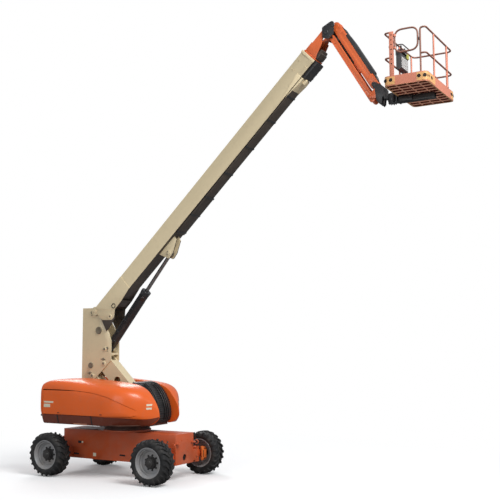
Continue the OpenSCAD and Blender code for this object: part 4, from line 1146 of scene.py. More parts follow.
plug_profile = [(0.0215, 0.0), (0.0215, 0.055), (0.024, 0.060), (0.024, 0.084), (0.020, 0.090),
                (0.0, 0.090), (0.0, 0.0)]
low_plug = [(z, r * 0.79) for z, r in plug_profile]
pin_profile = [(0.010, 0.0), (0.010, 0.030), (0.008, 0.034), (0.0, 0.036), (0.0, 0.0)]
pieces = []
for side in (1, -1):
    out, face = (0, side, 0), side * UPRIGHT_Y
    pieces += [turned("plug", beside(BOOM_PIN, 0.099, -0.479, face), out, plug_profile, PLUG),
               turned("plug", beside(LINK_PIN, -0.408, -0.052, face), out, low_plug, PLUG)]
    for pin in (LIFT_PIN, LINK_PIN, TIMING_PIN):
        pieces.append(turned("pin_end", beside(pin, 0, 0, side * (UPRIGHT_Y + 0.020)), out,
                             [(0.003, 0.0), (0.003, 0.030), (0.001, 0.034), (0.0, 0.034), (0.0, 0.0)], PLUG))
    big = [beside(BOOM_PIN, -0.134, -0.033, face), beside(LIFT_PIN, 0.078, 0.020, face),
           beside(LINK_PIN, -0.013, 0.104, face), beside(TIMING_PIN, -0.070, 0.060, face)]
    for at in big:
        pieces.append(turned("keeper", at, out, pin_profile, PLUG, 24))
    small = [big[0] + Vector((0, 0, -0.065)), big[1] + Vector((0.0, 0, -0.070)),
             big[2] + Vector((-0.065, 0, 0)), big[3] + Vector((-0.060, 0, 0)),
             big[3] + Vector((0.045, 0, 0.004)), big[2] + Vector((0.046, 0, -0.006))]
    pieces.append(studs("keeper_bolts", small, out, 0.012, 0.008, PLUG))
settle(joined("upright_pins_and_plugs", *pieces), None, "tower", slot="black_paint")
print("pins and plugs:", len(pieces))

# %% Rim round the hole in the lift link
hole_rim = [(0.0, 0.100), (0.002, 0.101), (0.003, 0.106), (0.003, 0.112), (0.0, 0.116), (-0.004, 0.106)]
rims = []
for side in (1, -1):
    hole = along(LINK_PIN, LINK_DIR, 0.580, -0.027, side * LINK_Y)
    rims.append(turned("rim", hole, (0, side, 0), hole_rim, CREAM, 48))
settle(joined("lift_link_hole_rims", *rims), None, "link", slot="cream_paint")
print("hole rims:", len(rims))

# %% Lift cylinder: barrel with its eye, gland, ports and steel line
LIFT_DIR = Vector(joints["cylinder_stroke"]["axis"])
BARREL_L, BARREL_R = 1.820, 0.110
softened("lift_barrel", BLACK, 0.004, 1)


def on_lift(s, n, y=0.0):
    """The point s along the cylinder from its lower pin and n above it."""
    return along(LIFT_PIN, LIFT_DIR, s, n, y)


def in_lift(name, low, high, material, bevel=0.004):
    """A block drawn along the cylinder: its corners are (along, above, across)."""
    up = Vector((-LIFT_DIR.z, 0, LIFT_DIR.x))
    turn = Matrix((LIFT_DIR, up, Vector((0, 1, 0)))).transposed().to_4x4()
    obj = slab(name, low, high, bevel)
    obj.data.transform(Matrix.Translation(LIFT_PIN) @ turn)
    return with_finish(obj, material)


collars = []
for s, w, r in ((0.104, 0.030, 0.115), (0.300, 0.016, 0.1145), (1.640, 0.030, 0.115), (1.700, 0.100, 0.118)):
    band = [(0, BARREL_R - 0.006), (0, r - 0.004), (0.004, r), (w - 0.004, r), (w, r - 0.004),
            (w, BARREL_R - 0.006)]
    collars.append(turned("collar", on_lift(s, 0), LIFT_DIR, band, BLACK, 40))
gland = [(0.0, 0.047), (0.003, 0.047), (0.004, 0.050), (0.004, 0.080), (0.003, 0.086), (0.0, 0.086)]
gland_face = turned("gland_face", on_lift(BARREL_L, 0), LIFT_DIR, gland, BLACK)
ports = [in_lift("port", (0.190, -0.045, -0.134), (0.280, 0.030, -0.100), BLACK),
         in_lift("port", (1.705, -0.045, -0.140), (1.785, 0.035, -0.100), BLACK)]
line_run = [(0.270, -0.122), (0.420, -0.124), (1.600, -0.124), (1.720, -0.128)]
lines = [pipe("line", [on_lift(s, n, y) for s, y in line_run], 0.009, 0.05, material=BLACK)
         for n in (-0.022, 0.012)]
clamps = [in_lift("clamp", (s, -0.040, -0.137), (s + 0.030, 0.030, -0.100), BLACK, 0.006)
          for s in (0.55, 0.90, 1.25)]
SLEEVE_RIBS, RIB_STEP = 36, 0.034
rib = lathe("rib", [(0, 0.107), (0.0, 0.1125), (0.010, 0.1145), (0.020, 0.1125), (0.020, 0.107)], 40)
sleeve = grown("sleeve_ribs", rib, LINE, Count=SLEEVE_RIBS, Start=(0, 0, 0), Step=(0, 0, RIB_STEP),
               Material=BLACK)
aimed(sleeve, on_lift(0.34, 0), LIFT_DIR)
settle(joined("lift_barrel_fittings", *collars, gland_face, *ports, *lines, *clamps, sleeve), None,
       "cylinder", slot="black_paint")
softened("lift_rod", ROD, 0.003, 1)
print("tower and cylinder dressed")

# %% [markdown]
# ## Three-part boom
# The boom is three welded boxes, one inside the other. From outside it reads by its ends: wear-pad
# bolts behind the mouth, a wedge of doubler plate under the tip, the covered hose tray below and
# the foot plates that take the pivot. Each box is kept as one bevelled shell, and its downward
# faces get a second, darker finish: painted shade for the shadow under the boom. That needs no
# second mesh, only a look at which way a face points.

# %% Boom boxes, with a darker underside
def underside(obj, material, direction, share=0.75):
    """Gives the faces that look away from a direction a second finish, a painted shade."""
    obj.data.materials.append(material)
    for face in obj.data.polygons:
        if face.normal.dot(direction) < -share:
            face.material_index = 1
    return obj


BOOM_UP = Vector((-BOOM_DIR.z, 0, BOOM_DIR.x))
BOOM_W = 0.200
# Each box's downward faces get painted shade: dark brown on the base, black on the two inner boxes.
base = underside(softened("boom_base", CREAM, 0.006), UNDERSIDE_SHADE, BOOM_UP)
underside(softened("boom_mid", ORANGE, 0.006), BLACK, BOOM_UP)
underside(softened("boom_fly", ORANGE, 0.006), BLACK, BOOM_UP)
# The hose tray under the boom is dark with the underside's painted shade.
softened("hose_tray", UNDERSIDE_SHADE, 0.004)
BASE_L, BASE_TOP, BASE_BOT = 8.210, 0.060, -0.340
MID_L, MID_INSET, MID_W = 8.250, 0.020, 0.180
FOOT_REACH, FOOT_INSIDE, FOOT_FACE = 1.2, 0.198, 0.2125  # how far the foot plates run, their two faces
for face in base.data.polygons:  # painted shade on what lies between the foot plates
    reach = (face.center - on_boom(0, 0)).dot(BOOM_DIR)
    depth = (face.center - on_boom(0, 0)).dot(BOOM_UP)
    inward = face.normal.y * face.center.y < -0.05
    below = depth < BASE_BOT - 0.012 and abs(face.center.y) < FOOT_INSIDE
    if reach < FOOT_REACH and (inward or below):
        face.material_index = 1
print("boom base faces:", len(base.data.polygons))

# %% Foot plates, wedge, wear-pad bolts and the cylinder's eye
BOSS, PORT, PORT_RING, PORT_BOLTS = (0.240, -0.426), (0.507, -0.317), 0.055, 0.2185
EYE, EYE_Y = (2.499, -0.515), 0.100


def boom_plate(name, outline, y0, y1, material, bevel=0.003):
    """A plate across the machine whose outline is given along and above the boom."""
    return plate(name, [xz(on_boom(s, n)) for s, n in outline], y0, y1, material, bevel)


pieces = []
for side in (1, -1):
    out, face = (0, side, 0), side * BOOM_W
    wedge = [(7.00, BASE_BOT + 0.004), (BASE_L - 0.46, BASE_BOT + 0.135), (BASE_L - 0.46, BASE_BOT + 0.004)]
    pieces.append(boom_plate("wedge", wedge, *sorted((face, face + side * 0.010)), CREAM, 0.002))
    boss = [(0.0, 0.0), (0.0, 0.062), (0.010, 0.058), (0.010, 0.030), (0.004, 0.026), (0.004, 0.0)]
    pieces.append(turned("low_boss", on_boom(*BOSS, side * FOOT_FACE), out, boss, CREAM))
    dot = disc(0.0, 0.008, 0.024, 0.022)
    pieces.append(turned("low_dot", on_boom(*BOSS, side * FOOT_FACE), out, dot, PLUG))
    pieces.append(turned("port_ring", on_boom(*PORT, side * FOOT_FACE), out,
                         [(0.0, 0.040), (0.0, 0.064), (0.005, 0.062), (0.005, 0.042)], PLUG))
    ring = [on_boom(PORT[0] + PORT_RING * math.cos(a), PORT[1] + PORT_RING * math.sin(a), side * PORT_BOLTS)
            for a in (0.5, 1.4, 2.3, 3.2, 4.1, 5.0)]
    pads = [(BASE_L - 0.060, n) for n in (-0.300, -0.020)]
    pads += [(BASE_L - 0.230, n) for n in (-0.300, -0.250, -0.020)]
    pads += [(BASE_L - 0.480, n) for n in (-0.030, -0.075)]
    pads = [on_boom(s, n, face + side * 0.006) for s, n in pads]
    pieces.append(studs("pad_bolts", pads, out, 0.010, 0.007, CREAM))
    pieces.append(studs("port_bolts", ring, out, 0.009, 0.008, BLACK))
# The foot skirts below the pivot are dark with the underside's painted shade.
for side in (1, -1):
    skirt = [(-0.003, -0.292), (0.100, -0.340), (0.320, -0.470), (0.335, -0.560), (0.100, -0.610),
             (-0.090, -0.620)]
    pieces.append(boom_plate("foot_skirt", skirt, *sorted((side * 0.199, side * 0.207)), UNDERSIDE_SHADE, 0.002))
    eye = on_boom(*EYE, side * EYE_Y)
    cap = [(0.0, 0.0), (0.0, 0.066), (0.010, 0.062), (0.012, 0.0)]
    pieces.append(turned("eye_cap", eye, (0, side, 0), cap, CREAM, 36))
    dots = [eye + Vector((dx, side * 0.012, dz)) for dx, dz in ((-0.020, 0.030), (-0.032, -0.026))]
    pieces.append(studs("eye_bolts", dots, (0, side, 0), 0.015, 0.010, PLUG))
settle(joined("boom_base_fittings", *pieces), None, "boom", slot="cream_paint")
print("boom base fittings:", len(pieces))

# %% Mouths of the two outer boxes: a welded collar on each
def collar(name, s, top, bottom, wide, long, thick, material):
    """A welded band round a box, made as two nested prisms."""
    outer = [(-wide - thick, bottom - thick), (wide + thick, bottom - thick),
             (wide + thick, top + thick), (-wide - thick, top + thick)]
    inner = [(-wide, bottom), (wide, bottom), (wide, top), (-wide, top)]
    band = prism(name, outer, 0, long, "Z", 0.003)
    band = cut(band, prism("hole", inner, -0.01, long + 0.01, "Z"))
    turn = Matrix((Vector((0, 1, 0)), BOOM_UP, BOOM_DIR)).transposed().to_4x4()
    band.data.transform(Matrix.Translation(on_boom(s, 0)) @ turn)
    return with_finish(resharpen(band), material)


mouth = collar("mouth_collar", BASE_L - 0.052, BASE_TOP, BASE_BOT, BOOM_W, 0.046, 0.004, CREAM)
settle(mouth, None, "boom", slot="cream_paint")
mid_top, mid_bottom = BASE_TOP - MID_INSET, BASE_BOT + MID_INSET
mid_mouth = collar("mid_collar", MID_L - 0.030, mid_top, mid_bottom, MID_W, 0.024, 0.004, ORANGE)
settle(mid_mouth, None, "mid", slot="orange_paint")
print("collars on two boxes")

# %% Under the boom: stepped guard at the tip, tray straps and the end of a cylinder
softened("tip_guard", BLACK, 0.005)
LOW = BASE_BOT - 0.004


def hanging(name, s, long, deep, half, material, bevel):
    """A cross plate under the boom: how far along, its length and depth, and half its width."""
    return boom_plate(name, [(s, LOW), (s, LOW - deep), (s + long, LOW - deep), (s + long, LOW)],
                      -half, half, material, bevel)


step = [(7.760, LOW), (7.790, LOW - 0.066), (8.200, LOW - 0.074), (8.215, LOW - 0.030), (8.215, LOW)]
guard = [boom_plate("guard_step", step, -0.166, 0.166, BLACK, 0.006)]
for s in (7.83, 7.96, 8.09):
    guard.append(hanging("guard_rib", s, 0.022, 0.074, 0.170, BLACK, 0.003))
tray_end = [(7.12, LOW + 0.008), (7.60, LOW - 0.050), (7.745, LOW - 0.050), (7.745, LOW + 0.008)]
guard.append(boom_plate("tray_end", tray_end, -0.176, 0.176, CREAM, 0.004))
for s in (3.05, 3.6, 4.15, 4.9, 5.7, 6.5, 7.2):
    guard.append(hanging("strap", s, 0.045, 0.052 if s < 4.2 else 0.033, 0.172, BLACK, 0.002))
cylinder_tip = [(0.0, 0.0), (0.0, 0.046), (0.006, 0.052), (0.100, 0.052), (0.108, 0.046), (0.108, 0.030),
                (0.128, 0.026), (0.128, 0.0)]
guard.append(turned("cylinder_end", on_boom(7.640, LOW - 0.062, -0.030), BOOM_DIR, cylinder_tip, CREAM, 32))
settle(joined("boom_tip_fittings", *guard), None, "boom", slot="black_paint")
print("fittings under the boom:", len(guard))

# %% Cover plates on the fly section's nose
nose_cover = []
for side in (1, -1):
    cover = [(8.256, 0.036), (8.460, 0.036), (8.470, 0.004), (8.640, -0.045), (8.640, -0.170),
             (8.256, -0.300)]
    nose_cover.append(boom_plate("nose_cover", cover, *sorted((side * 0.160, side * 0.167)), ORANGE, 0.002))
nose_top = [(8.256, 0.018), (8.256, 0.034), (8.458, 0.034), (8.468, 0.006), (8.40, 0.006)]
nose_cover.append(boom_plate("nose_top", nose_top, -0.160, 0.160, ORANGE, 0.003))
roller_guard = [(8.262, -0.300), (8.262, -0.338), (8.410, -0.338), (8.430, -0.310), (8.480, -0.300),
                (8.490, -0.270), (8.40, -0.260)]
# The roller guard under the nose is dark with the underside's painted shade.
nose_cover.append(boom_plate("roller_guard", roller_guard, -0.150, 0.150, UNDERSIDE_SHADE, 0.004))
settle(joined("fly_nose_cover", *nose_cover), None, "fly", slot="orange_paint")
print("boom dressed")

# %% [markdown]
# ## Boom nose and jib
# The fly tube ends in two thick side plates. A black carrier with heavy cheeks sits on the pin there
# and stays upright while the boom moves. From it hangs the jib: an upper box and two lower links
# with the same distance between their pins, so the platform stays level. The cheeks are flat plates
# cut to an outline, because that is how they are made; a carved solid would look cast.

# %% Nose: cheeks, cross block and pins
LEVEL_PIN, JIB_PIN, HEAD_PIN = (joint_at(n) for n in ("jib_level", "jib_lift", "head_level"))
LINK_DROP = Vector((-0.088, 0, -0.252))  # from a jib pin to the lower link's pin
LOW_PIN, HEAD_LOW = JIB_PIN + LINK_DROP, HEAD_PIN + LINK_DROP
CHEEK_IN, CHEEK_OUT = 0.166, 0.182
softened("jib_knuckle", BLACK, 0.005)
cheek = rounded([(-0.100, 0.128), (0.100, 0.226), (0.150, 0.236), (0.190, 0.205), (0.182, -0.060),
                 (0.060, -0.158), (0.000, -0.150), (-0.093, -0.100)],
                [0.03, 0.02, 0.03, 0.02, 0.02, 0.03, 0.02, 0.02], 4)
nose = []
for side in (1, -1):
    outline = [(LEVEL_PIN.x + dx, LEVEL_PIN.z + dz) for dx, dz in cheek]
    nose.append(plate("cheek", outline, *sorted((side * CHEEK_IN, side * CHEEK_OUT)), BLACK, 0.004))
    out, face = (0, side, 0), side * CHEEK_OUT
    cap = [(0.0, 0.0), (0.0, 0.050), (0.006, 0.050), (0.010, 0.044), (0.010, 0.024), (0.004, 0.020),
           (0.004, 0.0)]
    nose.append(turned("pin_cap", LEVEL_PIN + Vector((0, face, 0)), out, cap, BLACK))
    nose.append(turned("pin_cap", JIB_PIN + Vector((-0.030, face, 0.010)), out,
                       [(z, r * 0.8) for z, r in cap], DARK_STEEL))
    at = [LEVEL_PIN + Vector((dx, face, dz))
          for dx, dz in ((-0.060, 0.080), (-0.060, -0.062), (0.075, -0.080), (0.090, 0.170), (-0.010, 0.150))]
    nose.append(studs("cheek_bolts", at, out, 0.012, 0.011, DARK_STEEL))
settle(joined("nose_cheeks", *nose), None, "nose", slot="black_paint")
print("nose pieces:", len(nose))

# %% Jib box: doublers, bosses and the cylinder below
softened("jib_arm", ORANGE, 0.007)
for word in ("left", "right"):
    softened(f"jib_link_{word}", ORANGE, 0.005)
JIB_HALF, JIB_TOP, JIB_L = 0.085, 0.098, 1.700


def jib_plate(name, outline, y0, y1, material, bevel=0.003):
    """A plate across the machine whose outline is given along and above the jib."""
    return plate(name, [xz(on_jib(s, n)) for s, n in outline], y0, y1, material, bevel)


arm = []
for side in (1, -1):
    for s0, s1 in ((0.10, 0.20), (1.44, 1.56)):
        low, high = sorted((side * JIB_HALF, side * (JIB_HALF + 0.003)))
        doubler = [(s0, -0.090), (s0 + 0.02, 0.092), (s1, 0.092), (s1 + 0.02, -0.090)]
        arm.append(jib_plate("doubler", doubler, low, high, ORANGE, 0.001))
    arm.append(turned("eye_boss", on_jib(0, 0, side * JIB_HALF), (0, side, 0),
                      disc(-0.004, 0.003, 0.062, 0.060), ORANGE))
web = [(0.96, -0.090), (0.99, -0.135), (1.22, -0.135), (1.26, -0.090)]
arm.append(jib_plate("web", web, -0.060, 0.060, ORANGE, 0.004))
barrel = [(0.0, 0.0), (0.0, 0.034), (0.012, 0.044), (0.70, 0.044), (0.715, 0.050), (0.775, 0.050),
          (0.780, 0.026), (0.90, 0.026), (0.90, 0.0)]
# The jib's cylinder and its lugs below the jib are dark with the underside's painted shade.
arm.append(turned("jib_cylinder", on_jib(0.230, -0.138, 0), JIB_DIR, barrel, UNDERSIDE_SHADE, 28))
cylinder_lug = [(0.20, -0.080), (0.20, -0.160), (0.28, -0.175), (0.34, -0.080)]
for low, high in ((-0.070, -0.056), (0.056, 0.070)):
    arm.append(jib_plate("cylinder_lug", cylinder_lug, low, high, UNDERSIDE_SHADE, 0.003))
settle(joined("jib_arm_fittings", *arm), None, "jib", slot="orange_paint")
print("jib fittings:", len(arm))

# %% Hose tray on the jib's back
tray_side = [(0.321, JIB_TOP), (0.345, JIB_TOP + 0.030), (0.60, JIB_TOP + 0.048), (1.440, JIB_TOP + 0.054),
             (1.474, JIB_TOP + 0.044), (1.474, JIB_TOP)]
tray = [jib_plate("tray", tray_side, -0.078, 0.078, PLASTIC, 0.006)]
tray_lip = [(0.335, JIB_TOP - 0.030), (0.335, JIB_TOP + 0.006), (1.460, JIB_TOP + 0.006),
            (1.460, JIB_TOP - 0.030)]
tray.append(jib_plate("tray_lip", tray_lip, -JIB_HALF - 0.004, JIB_HALF + 0.004, PLASTIC, 0.002))
for k, y in enumerate((-0.062, -0.038, -0.012, 0.014, 0.040, 0.064)):
    near = ((0.11, 0.096), (0.17, 0.112 + 0.003 * (k % 2)), (0.34, 0.116))
    far = ((1.45, 0.118), (1.58, 0.116), (1.655, 0.092))
    for run in (near, far):
        tray.append(pipe("tray_hose", [on_jib(s, n, y) for s, n in run], 0.010, 0.06, material=HOSE, sides=8))
settle(joined("jib_hose_tray", *tray), None, "jib", slot="black_paint")
print("tray and its hose ends:", len(tray))

# %% Lower links: pin bosses, bolts and an edge strip
LINK_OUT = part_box("jib_link_left")[1].y


def on_link(s, n, y=0.0):
    """The point s along the lower links from their pin and n above it."""
    return along(LOW_PIN, JIB_DIR, s, n, y)


pieces = []
for side in (1, -1):
    strip = [xz(on_link(s, n))
             for s, n in ((0.06, -0.060), (1.70, -0.060), (1.74, -0.040), (1.70, -0.048), (0.06, -0.048))]
    pieces.append(plate("edge_strip", strip,
                        *sorted((side * (LINK_OUT - 0.024), side * (LINK_OUT + 0.006))), ORANGE, 0.001))
    for s in (0.0, JIB_L):
        pieces.append(turned("link_boss", on_link(s, 0, side * LINK_OUT), (0, side, 0),
                             disc(-0.002, 0.004, 0.044, 0.042), ORANGE))
    pieces.append(studs("link_bolts", [on_link(s, n, side * LINK_OUT) for s, n in ((0.16, 0.0), (1.52, 0.0))],
                        (0, side, 0), 0.010, 0.007, ORANGE))
settle(joined("jib_link_fittings", *pieces), None, "jib_lower", slot="orange_paint")
print("link fittings:", len(pieces))

# %% Head: a corner is cut back, then two orange straps and the pin caps are added


def at_head(dx, dz):
    """A side-view point given from the head's upper pin."""
    return (HEAD_PIN.x + dx, HEAD_PIN.z + dz)


head = whole_faces("jib_head")
soften(head, 0.005, 2)
head = mesh_object("jib_head_finished", head, 40)
strap_box = [at_head(-0.16, -0.36), at_head(0.020, -0.36), at_head(0.020, -0.10), at_head(-0.16, -0.10)]
head = resharpen(cut(head, prism("tool", strap_box, -0.3, 0.3, "Y")), 40)
head.name = "jib_head_finished"
settle(head, BLACK, BODY_OF["jib_head"], "jib_head")
HEAD_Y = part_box("jib_head")[1].y
pieces = []
strap = [at_head(0.024, -0.100), at_head(0.050, -0.315), at_head(-0.088, -0.292), at_head(-0.116, -0.280),
         at_head(-0.128, -0.252), at_head(-0.116, -0.224), at_head(-0.088, -0.212), at_head(-0.010, -0.130)]
for side in (1, -1):
    out = (0, side, 0)
    pieces.append(plate("strap", strap,
                        *sorted((side * (HEAD_Y - 0.011), side * (HEAD_Y + 0.001))), ORANGE, 0.003))
    for pin, r in ((HEAD_PIN, 0.046), (HEAD_LOW, 0.042)):
        cap = [(-0.004, 0.0), (-0.004, r), (0.001, r), (0.002, r - 0.003), (0.002, 0.020), (0.0005, 0.018),
               (0.0005, 0.0)]
        pieces.append(turned("head_cap", pin + Vector((0, side * HEAD_Y, 0)), out, cap,
                             BLACK if pin is HEAD_PIN else ORANGE))
settle(joined("jib_head_pins", *pieces), None, "head", slot="black_paint")
print("jib dressed")

# %% [markdown]
# ## Platform
# Seen from below, the deck shows what it is: a folded toe board with rounded corners round a grid of
# flat bars, with dark mesh above them. The bars cross at an even pitch, so they are copied along a
# line. The rails are round tube bent at the corners; a pipe swept along bent corners gives the same
# look as a tube bender, where joined cylinders would show their mitres.

# %% Deck sizes and its finishes
DECK_LOW, DECK_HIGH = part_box("platform_floor")
DECK_X0, DECK_X1, DECK_Y, DECK_Z = DECK_LOW.x, DECK_HIGH.x, DECK_HIGH.y, DECK_LOW.z
DECK_TOP = DECK_HIGH.z
PLATE_Z = DECK_TOP - 0.150
# The rails are dark brown against the pale posts: painted shade, as rails look from below, with rubbed edges as
# real wear.
RAIL = painted("rail_orange_worn_with_painted_shade", (0.25, 0.105, 0.070), 0.45, wear=0.5, fade=0.3, coat=0.1)
TOE = painted("toe_board_orange_pale", (0.60, 0.205, 0.125), 0.45, wear=0.35, fade=0.12, coat=0.05)
CORNER = painted("corner_plate_pale_yellow", (0.70, 0.37, 0.135), 0.45, wear=0.3, coat=0.1)
DECK_BAR = painted("deck_bar_pale_orange", (0.90, 0.42, 0.27), 0.6, wear=0.2, coat=0.0)
# The mesh sheet, its webs and the slats are dark red, a painted shade for the shadow under the deck.
MESH = painted("deck_mesh_dark_red_painted_shade", (0.34, 0.040, 0.018), 0.6, wear=0.1, coat=0.0)
DARK_HOLE = painted("shadow_in_holes", (0.014, 0.006, 0.005), 0.9, wear=0.0, coat=0.0)
print("deck", round(DECK_X1 - DECK_X0, 3), "by", round(2 * DECK_Y, 3), "m")

# %% Deck: toe board, bars and mesh
CORNER_R, BARS, CROSSES, SLATS, SLAT_STEP = 0.08, 9, 3, 59, 0.030


def deck_outline(inset):
    """The deck's outline with round corners, drawn in by an inset."""
    corners = [(DECK_X0 + inset, -DECK_Y + inset), (DECK_X1 - inset, -DECK_Y + inset),
               (DECK_X1 - inset, DECK_Y - inset), (DECK_X0 + inset, DECK_Y - inset)]
    return rounded(corners, max(CORNER_R - inset, 0.01) * 1.25, 8)


def ring_wall(name, outer, inner, low, high, material):
    """A wall between two outlines."""
    hole = prism("hole", deck_outline(inner), low - 0.01, high + 0.01, "Z")
    wall = cut(prism(name, deck_outline(outer), low, high, "Z"), hole)
    return with_finish(resharpen(wall), material)


board = [ring_wall("toe_board", 0.0, 0.006, DECK_Z, DECK_TOP - 0.002, TOE),
         ring_wall("bottom_flange", 0.001, 0.034, DECK_Z + 0.001, DECK_Z + 0.006, CORNER),
         ring_wall("top_fold", 0.001, 0.016, DECK_TOP - 0.006, DECK_TOP, TOE)]
sheet = with_finish(prism("deck_sheet", deck_outline(0.004), PLATE_Z - 0.004, PLATE_Z - 0.001, "Z"), MESH)
PITCH_Y, DEEP = 2 * DECK_Y / (BARS + 1), (DECK_X1 - DECK_X0) / (CROSSES + 1)
bar_x = slab("bar", (DECK_X0 + 0.005, -0.032, DECK_Z + 0.006),
             (DECK_X1 - 0.005, 0.032, DECK_Z + 0.012), 0.002, 1)
bars = grown("deck_bars", bar_x, LINE, Count=BARS, Start=(0, -DECK_Y + PITCH_Y, 0), Step=(0, PITCH_Y, 0),
             Material=DECK_BAR)
web_x = slab("web", (DECK_X0 + 0.005, -0.004, DECK_Z + 0.010), (DECK_X1 - 0.005, 0.004, PLATE_Z - 0.003))
webs = grown("deck_webs", web_x, LINE, Count=BARS, Start=(0, -DECK_Y + PITCH_Y, 0), Step=(0, PITCH_Y, 0),
             Material=MESH)
cross = slab("cross", (-0.016, -DECK_Y + 0.005, DECK_Z + 0.012),
             (0.016, DECK_Y - 0.005, DECK_Z + 0.017), 0.002, 1)
crosses = grown("deck_crosses", cross, LINE, Count=CROSSES, Start=(DECK_X0 + DEEP, 0, 0), Step=(DEEP, 0, 0),
                Material=DECK_BAR)
slat = slab("slat", (DECK_X0 + 0.006, -0.004, PLATE_Z - 0.022), (DECK_X1 - 0.006, 0.004, PLATE_Z - 0.004))
slats = grown("deck_slats", slat, LINE, Count=SLATS, Start=(0, -DECK_Y + 0.045, 0), Step=(0, SLAT_STEP, 0),
              Material=MESH)
for seed in (bar_x, web_x, cross, slat):
    bpy.data.objects.remove(seed)
print("bars:", BARS, "crosses:", CROSSES, "slats:", SLATS)

# %% Corner plates, with dark discs for their lightening holes
def wrapped(low, high, outer, inner, material, keep):
    """A piece of wall round one corner: a ring cut down to a box."""
    ring = ring_wall("corner_plate", outer, inner, low, high, material)
    return with_finish(resharpen(cut(ring, slab("keep", *keep), "INTERSECT")), material)


corners = []
holes = [  # corner, offsets along x and y, and the way the face looks
    (-1, -1, 0.150, 0, (0, -1, 0)), (-1, -1, 0.035, 0.010, (-0.4, -1, 0)), (1, -1, 0.170, 0, (0, -1, 0)),
    (1, -1, 0.052, 0.008, (0.3, -1, 0)), (1, -1, 0.003, 0.085, (1, -0.1, 0)), (1, -1, 0, 0.280, (1, 0, 0)),
    (1, 1, 0, 0.200, (1, 0, 0)), (1, 1, 0.003, 0.075, (1, 0.1, 0)), (-1, 1, 0.150, 0, (0, 1, 0)),
    (-1, 1, 0, 0.130, (-1, 0, 0))]
for sx, sy, reach_x, reach_y in ((-1, -1, 0.24, 0.16), (1, -1, 0.22, 0.50),
                                 (1, 1, 0.20, 0.24), (-1, 1, 0.24, 0.20)):
    x, y = (DECK_X1 if sx > 0 else DECK_X0), sy * DECK_Y
    keep = [(min(x + sx * 0.02, x - sx * reach_x), min(y + sy * 0.02, y - sy * reach_y), DECK_Z - 0.1),
            (max(x + sx * 0.02, x - sx * reach_x), max(y + sy * 0.02, y - sy * reach_y), DECK_TOP + 0.1)]
    corners.append(wrapped(DECK_Z + 0.020, DECK_TOP - 0.018, -0.004, 0.001, CORNER, keep))
hole_profile = disc(-0.002, 0.0018, 0.034)
for sx, sy, dx, dy, outward in holes:
    dot = lathe("hole", hole_profile, 20)
    long_way = (1.0, 1.5, 1.0, 1.0) if abs(outward[0]) > 0.5 else (1.15, 1.1, 1.0, 1.0)
    dot.data.transform(Matrix.Diagonal(long_way))
    edge = Vector(((DECK_X1 if sx > 0 else DECK_X0) - sx * dx, sy * (DECK_Y - dy), PLATE_Z + 0.062))
    outward = Vector(outward).normalized()
    corners.append(with_finish(aimed(dot, edge + outward * 0.0035, outward), DARK_HOLE))
floor_piece = joined("platform_floor_finished", *board, sheet, bars, webs, crosses, slats, *corners)
settle(floor_piece, None, BODY_OF["platform_floor"], "platform_floor")
print("deck faces", len(floor_piece.data.polygons))

# %% Rails, bent at every corner
RAIL_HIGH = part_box("platform_rails")[1]
RAIL_R = 0.019
ANCHOR_Y, ANCHOR_HOLE = 0.560, 0.013
RX0, RX1, RY = DECK_X0 + 0.021, DECK_X1 - 0.021, DECK_Y - 0.021
TOP_Z = RAIL_HIGH.z - RAIL_R
MID_Z = PLATE_Z + (TOP_Z - PLATE_Z) / 2
GATE_X0, GATE_X1 = DECK_X0 + 0.235 - 0.040, DECK_X1 - 0.175 + 0.040
FOOT_Z = DECK_TOP + 0.001
rails = []
for z in (TOP_Z, MID_Z):
    run = [(GATE_X0, -RY, z), (RX0, -RY, z), (RX0, RY, z), (RX1, RY, z), (RX1, -RY, z), (GATE_X1, -RY, z)]
    if z == TOP_Z:
        run.append((GATE_X1, -RY, FOOT_Z))
    rails.append(pipe("rail", run, RAIL_R, 0.13, material=RAIL, sides=14))
posts = [(RX0, RY), (RX0, 0), (RX1 - 0.109, RY), (RX1, 0.480), (RX1, -0.390)]
for x, y in posts:
    lean = 0.13 if (x, y) == (RX0, RY) else 0
    rails.append(pipe("post", [(x, y - lean, FOOT_Z), (x, y - lean, TOP_Z)], RAIL_R, material=TOE, sides=14))
    foot = [(0.0, 0.0), (0.0, 0.040), (0.004, 0.040), (0.006, 0.026), (0.030, 0.022), (0.030, 0.0)]
    rails.append(turned("post_foot", Vector((x, y - lean, FOOT_Z)), (0, 0, 1), foot, TOE, 20))
wide = slab("hinge_post", (GATE_X0 - 0.068, -RY - RAIL_R, FOOT_Z),
            (GATE_X0 + 0.025, -RY + RAIL_R - 0.010, RAIL_HIGH.z - 0.004), 0.004)
rails.append(with_finish(wide, TOE))
for k in range(7):
    at = Vector((GATE_X0 - 0.022, -RY - RAIL_R - 0.0002, TOP_Z - 0.06 - 0.10 * k))
    rails.append(turned("post_hole", at, (0, -1, 0), disc(-0.002, 0.0006, 0.014), DARK_HOLE, 16))
for y in (ANCHOR_Y, -ANCHOR_Y):
    hole = [(y + ANCHOR_HOLE * math.cos(a), TOP_Z - 0.045 + ANCHOR_HOLE * math.sin(a))
            for a in np.arange(0, 2 * math.pi, 0.4)]
    anchor = slab("anchor", (RX0 - 0.004, y - 0.030, TOP_Z - 0.075),
                  (RX0 + 0.004, y + 0.030, TOP_Z - 0.015), 0.002)
    anchor = cut(anchor, prism("hole", hole, RX0 - 0.02, RX0 + 0.02, "X"))
    rails.append(with_finish(resharpen(anchor), TOE))
print("rail pieces", len(rails))

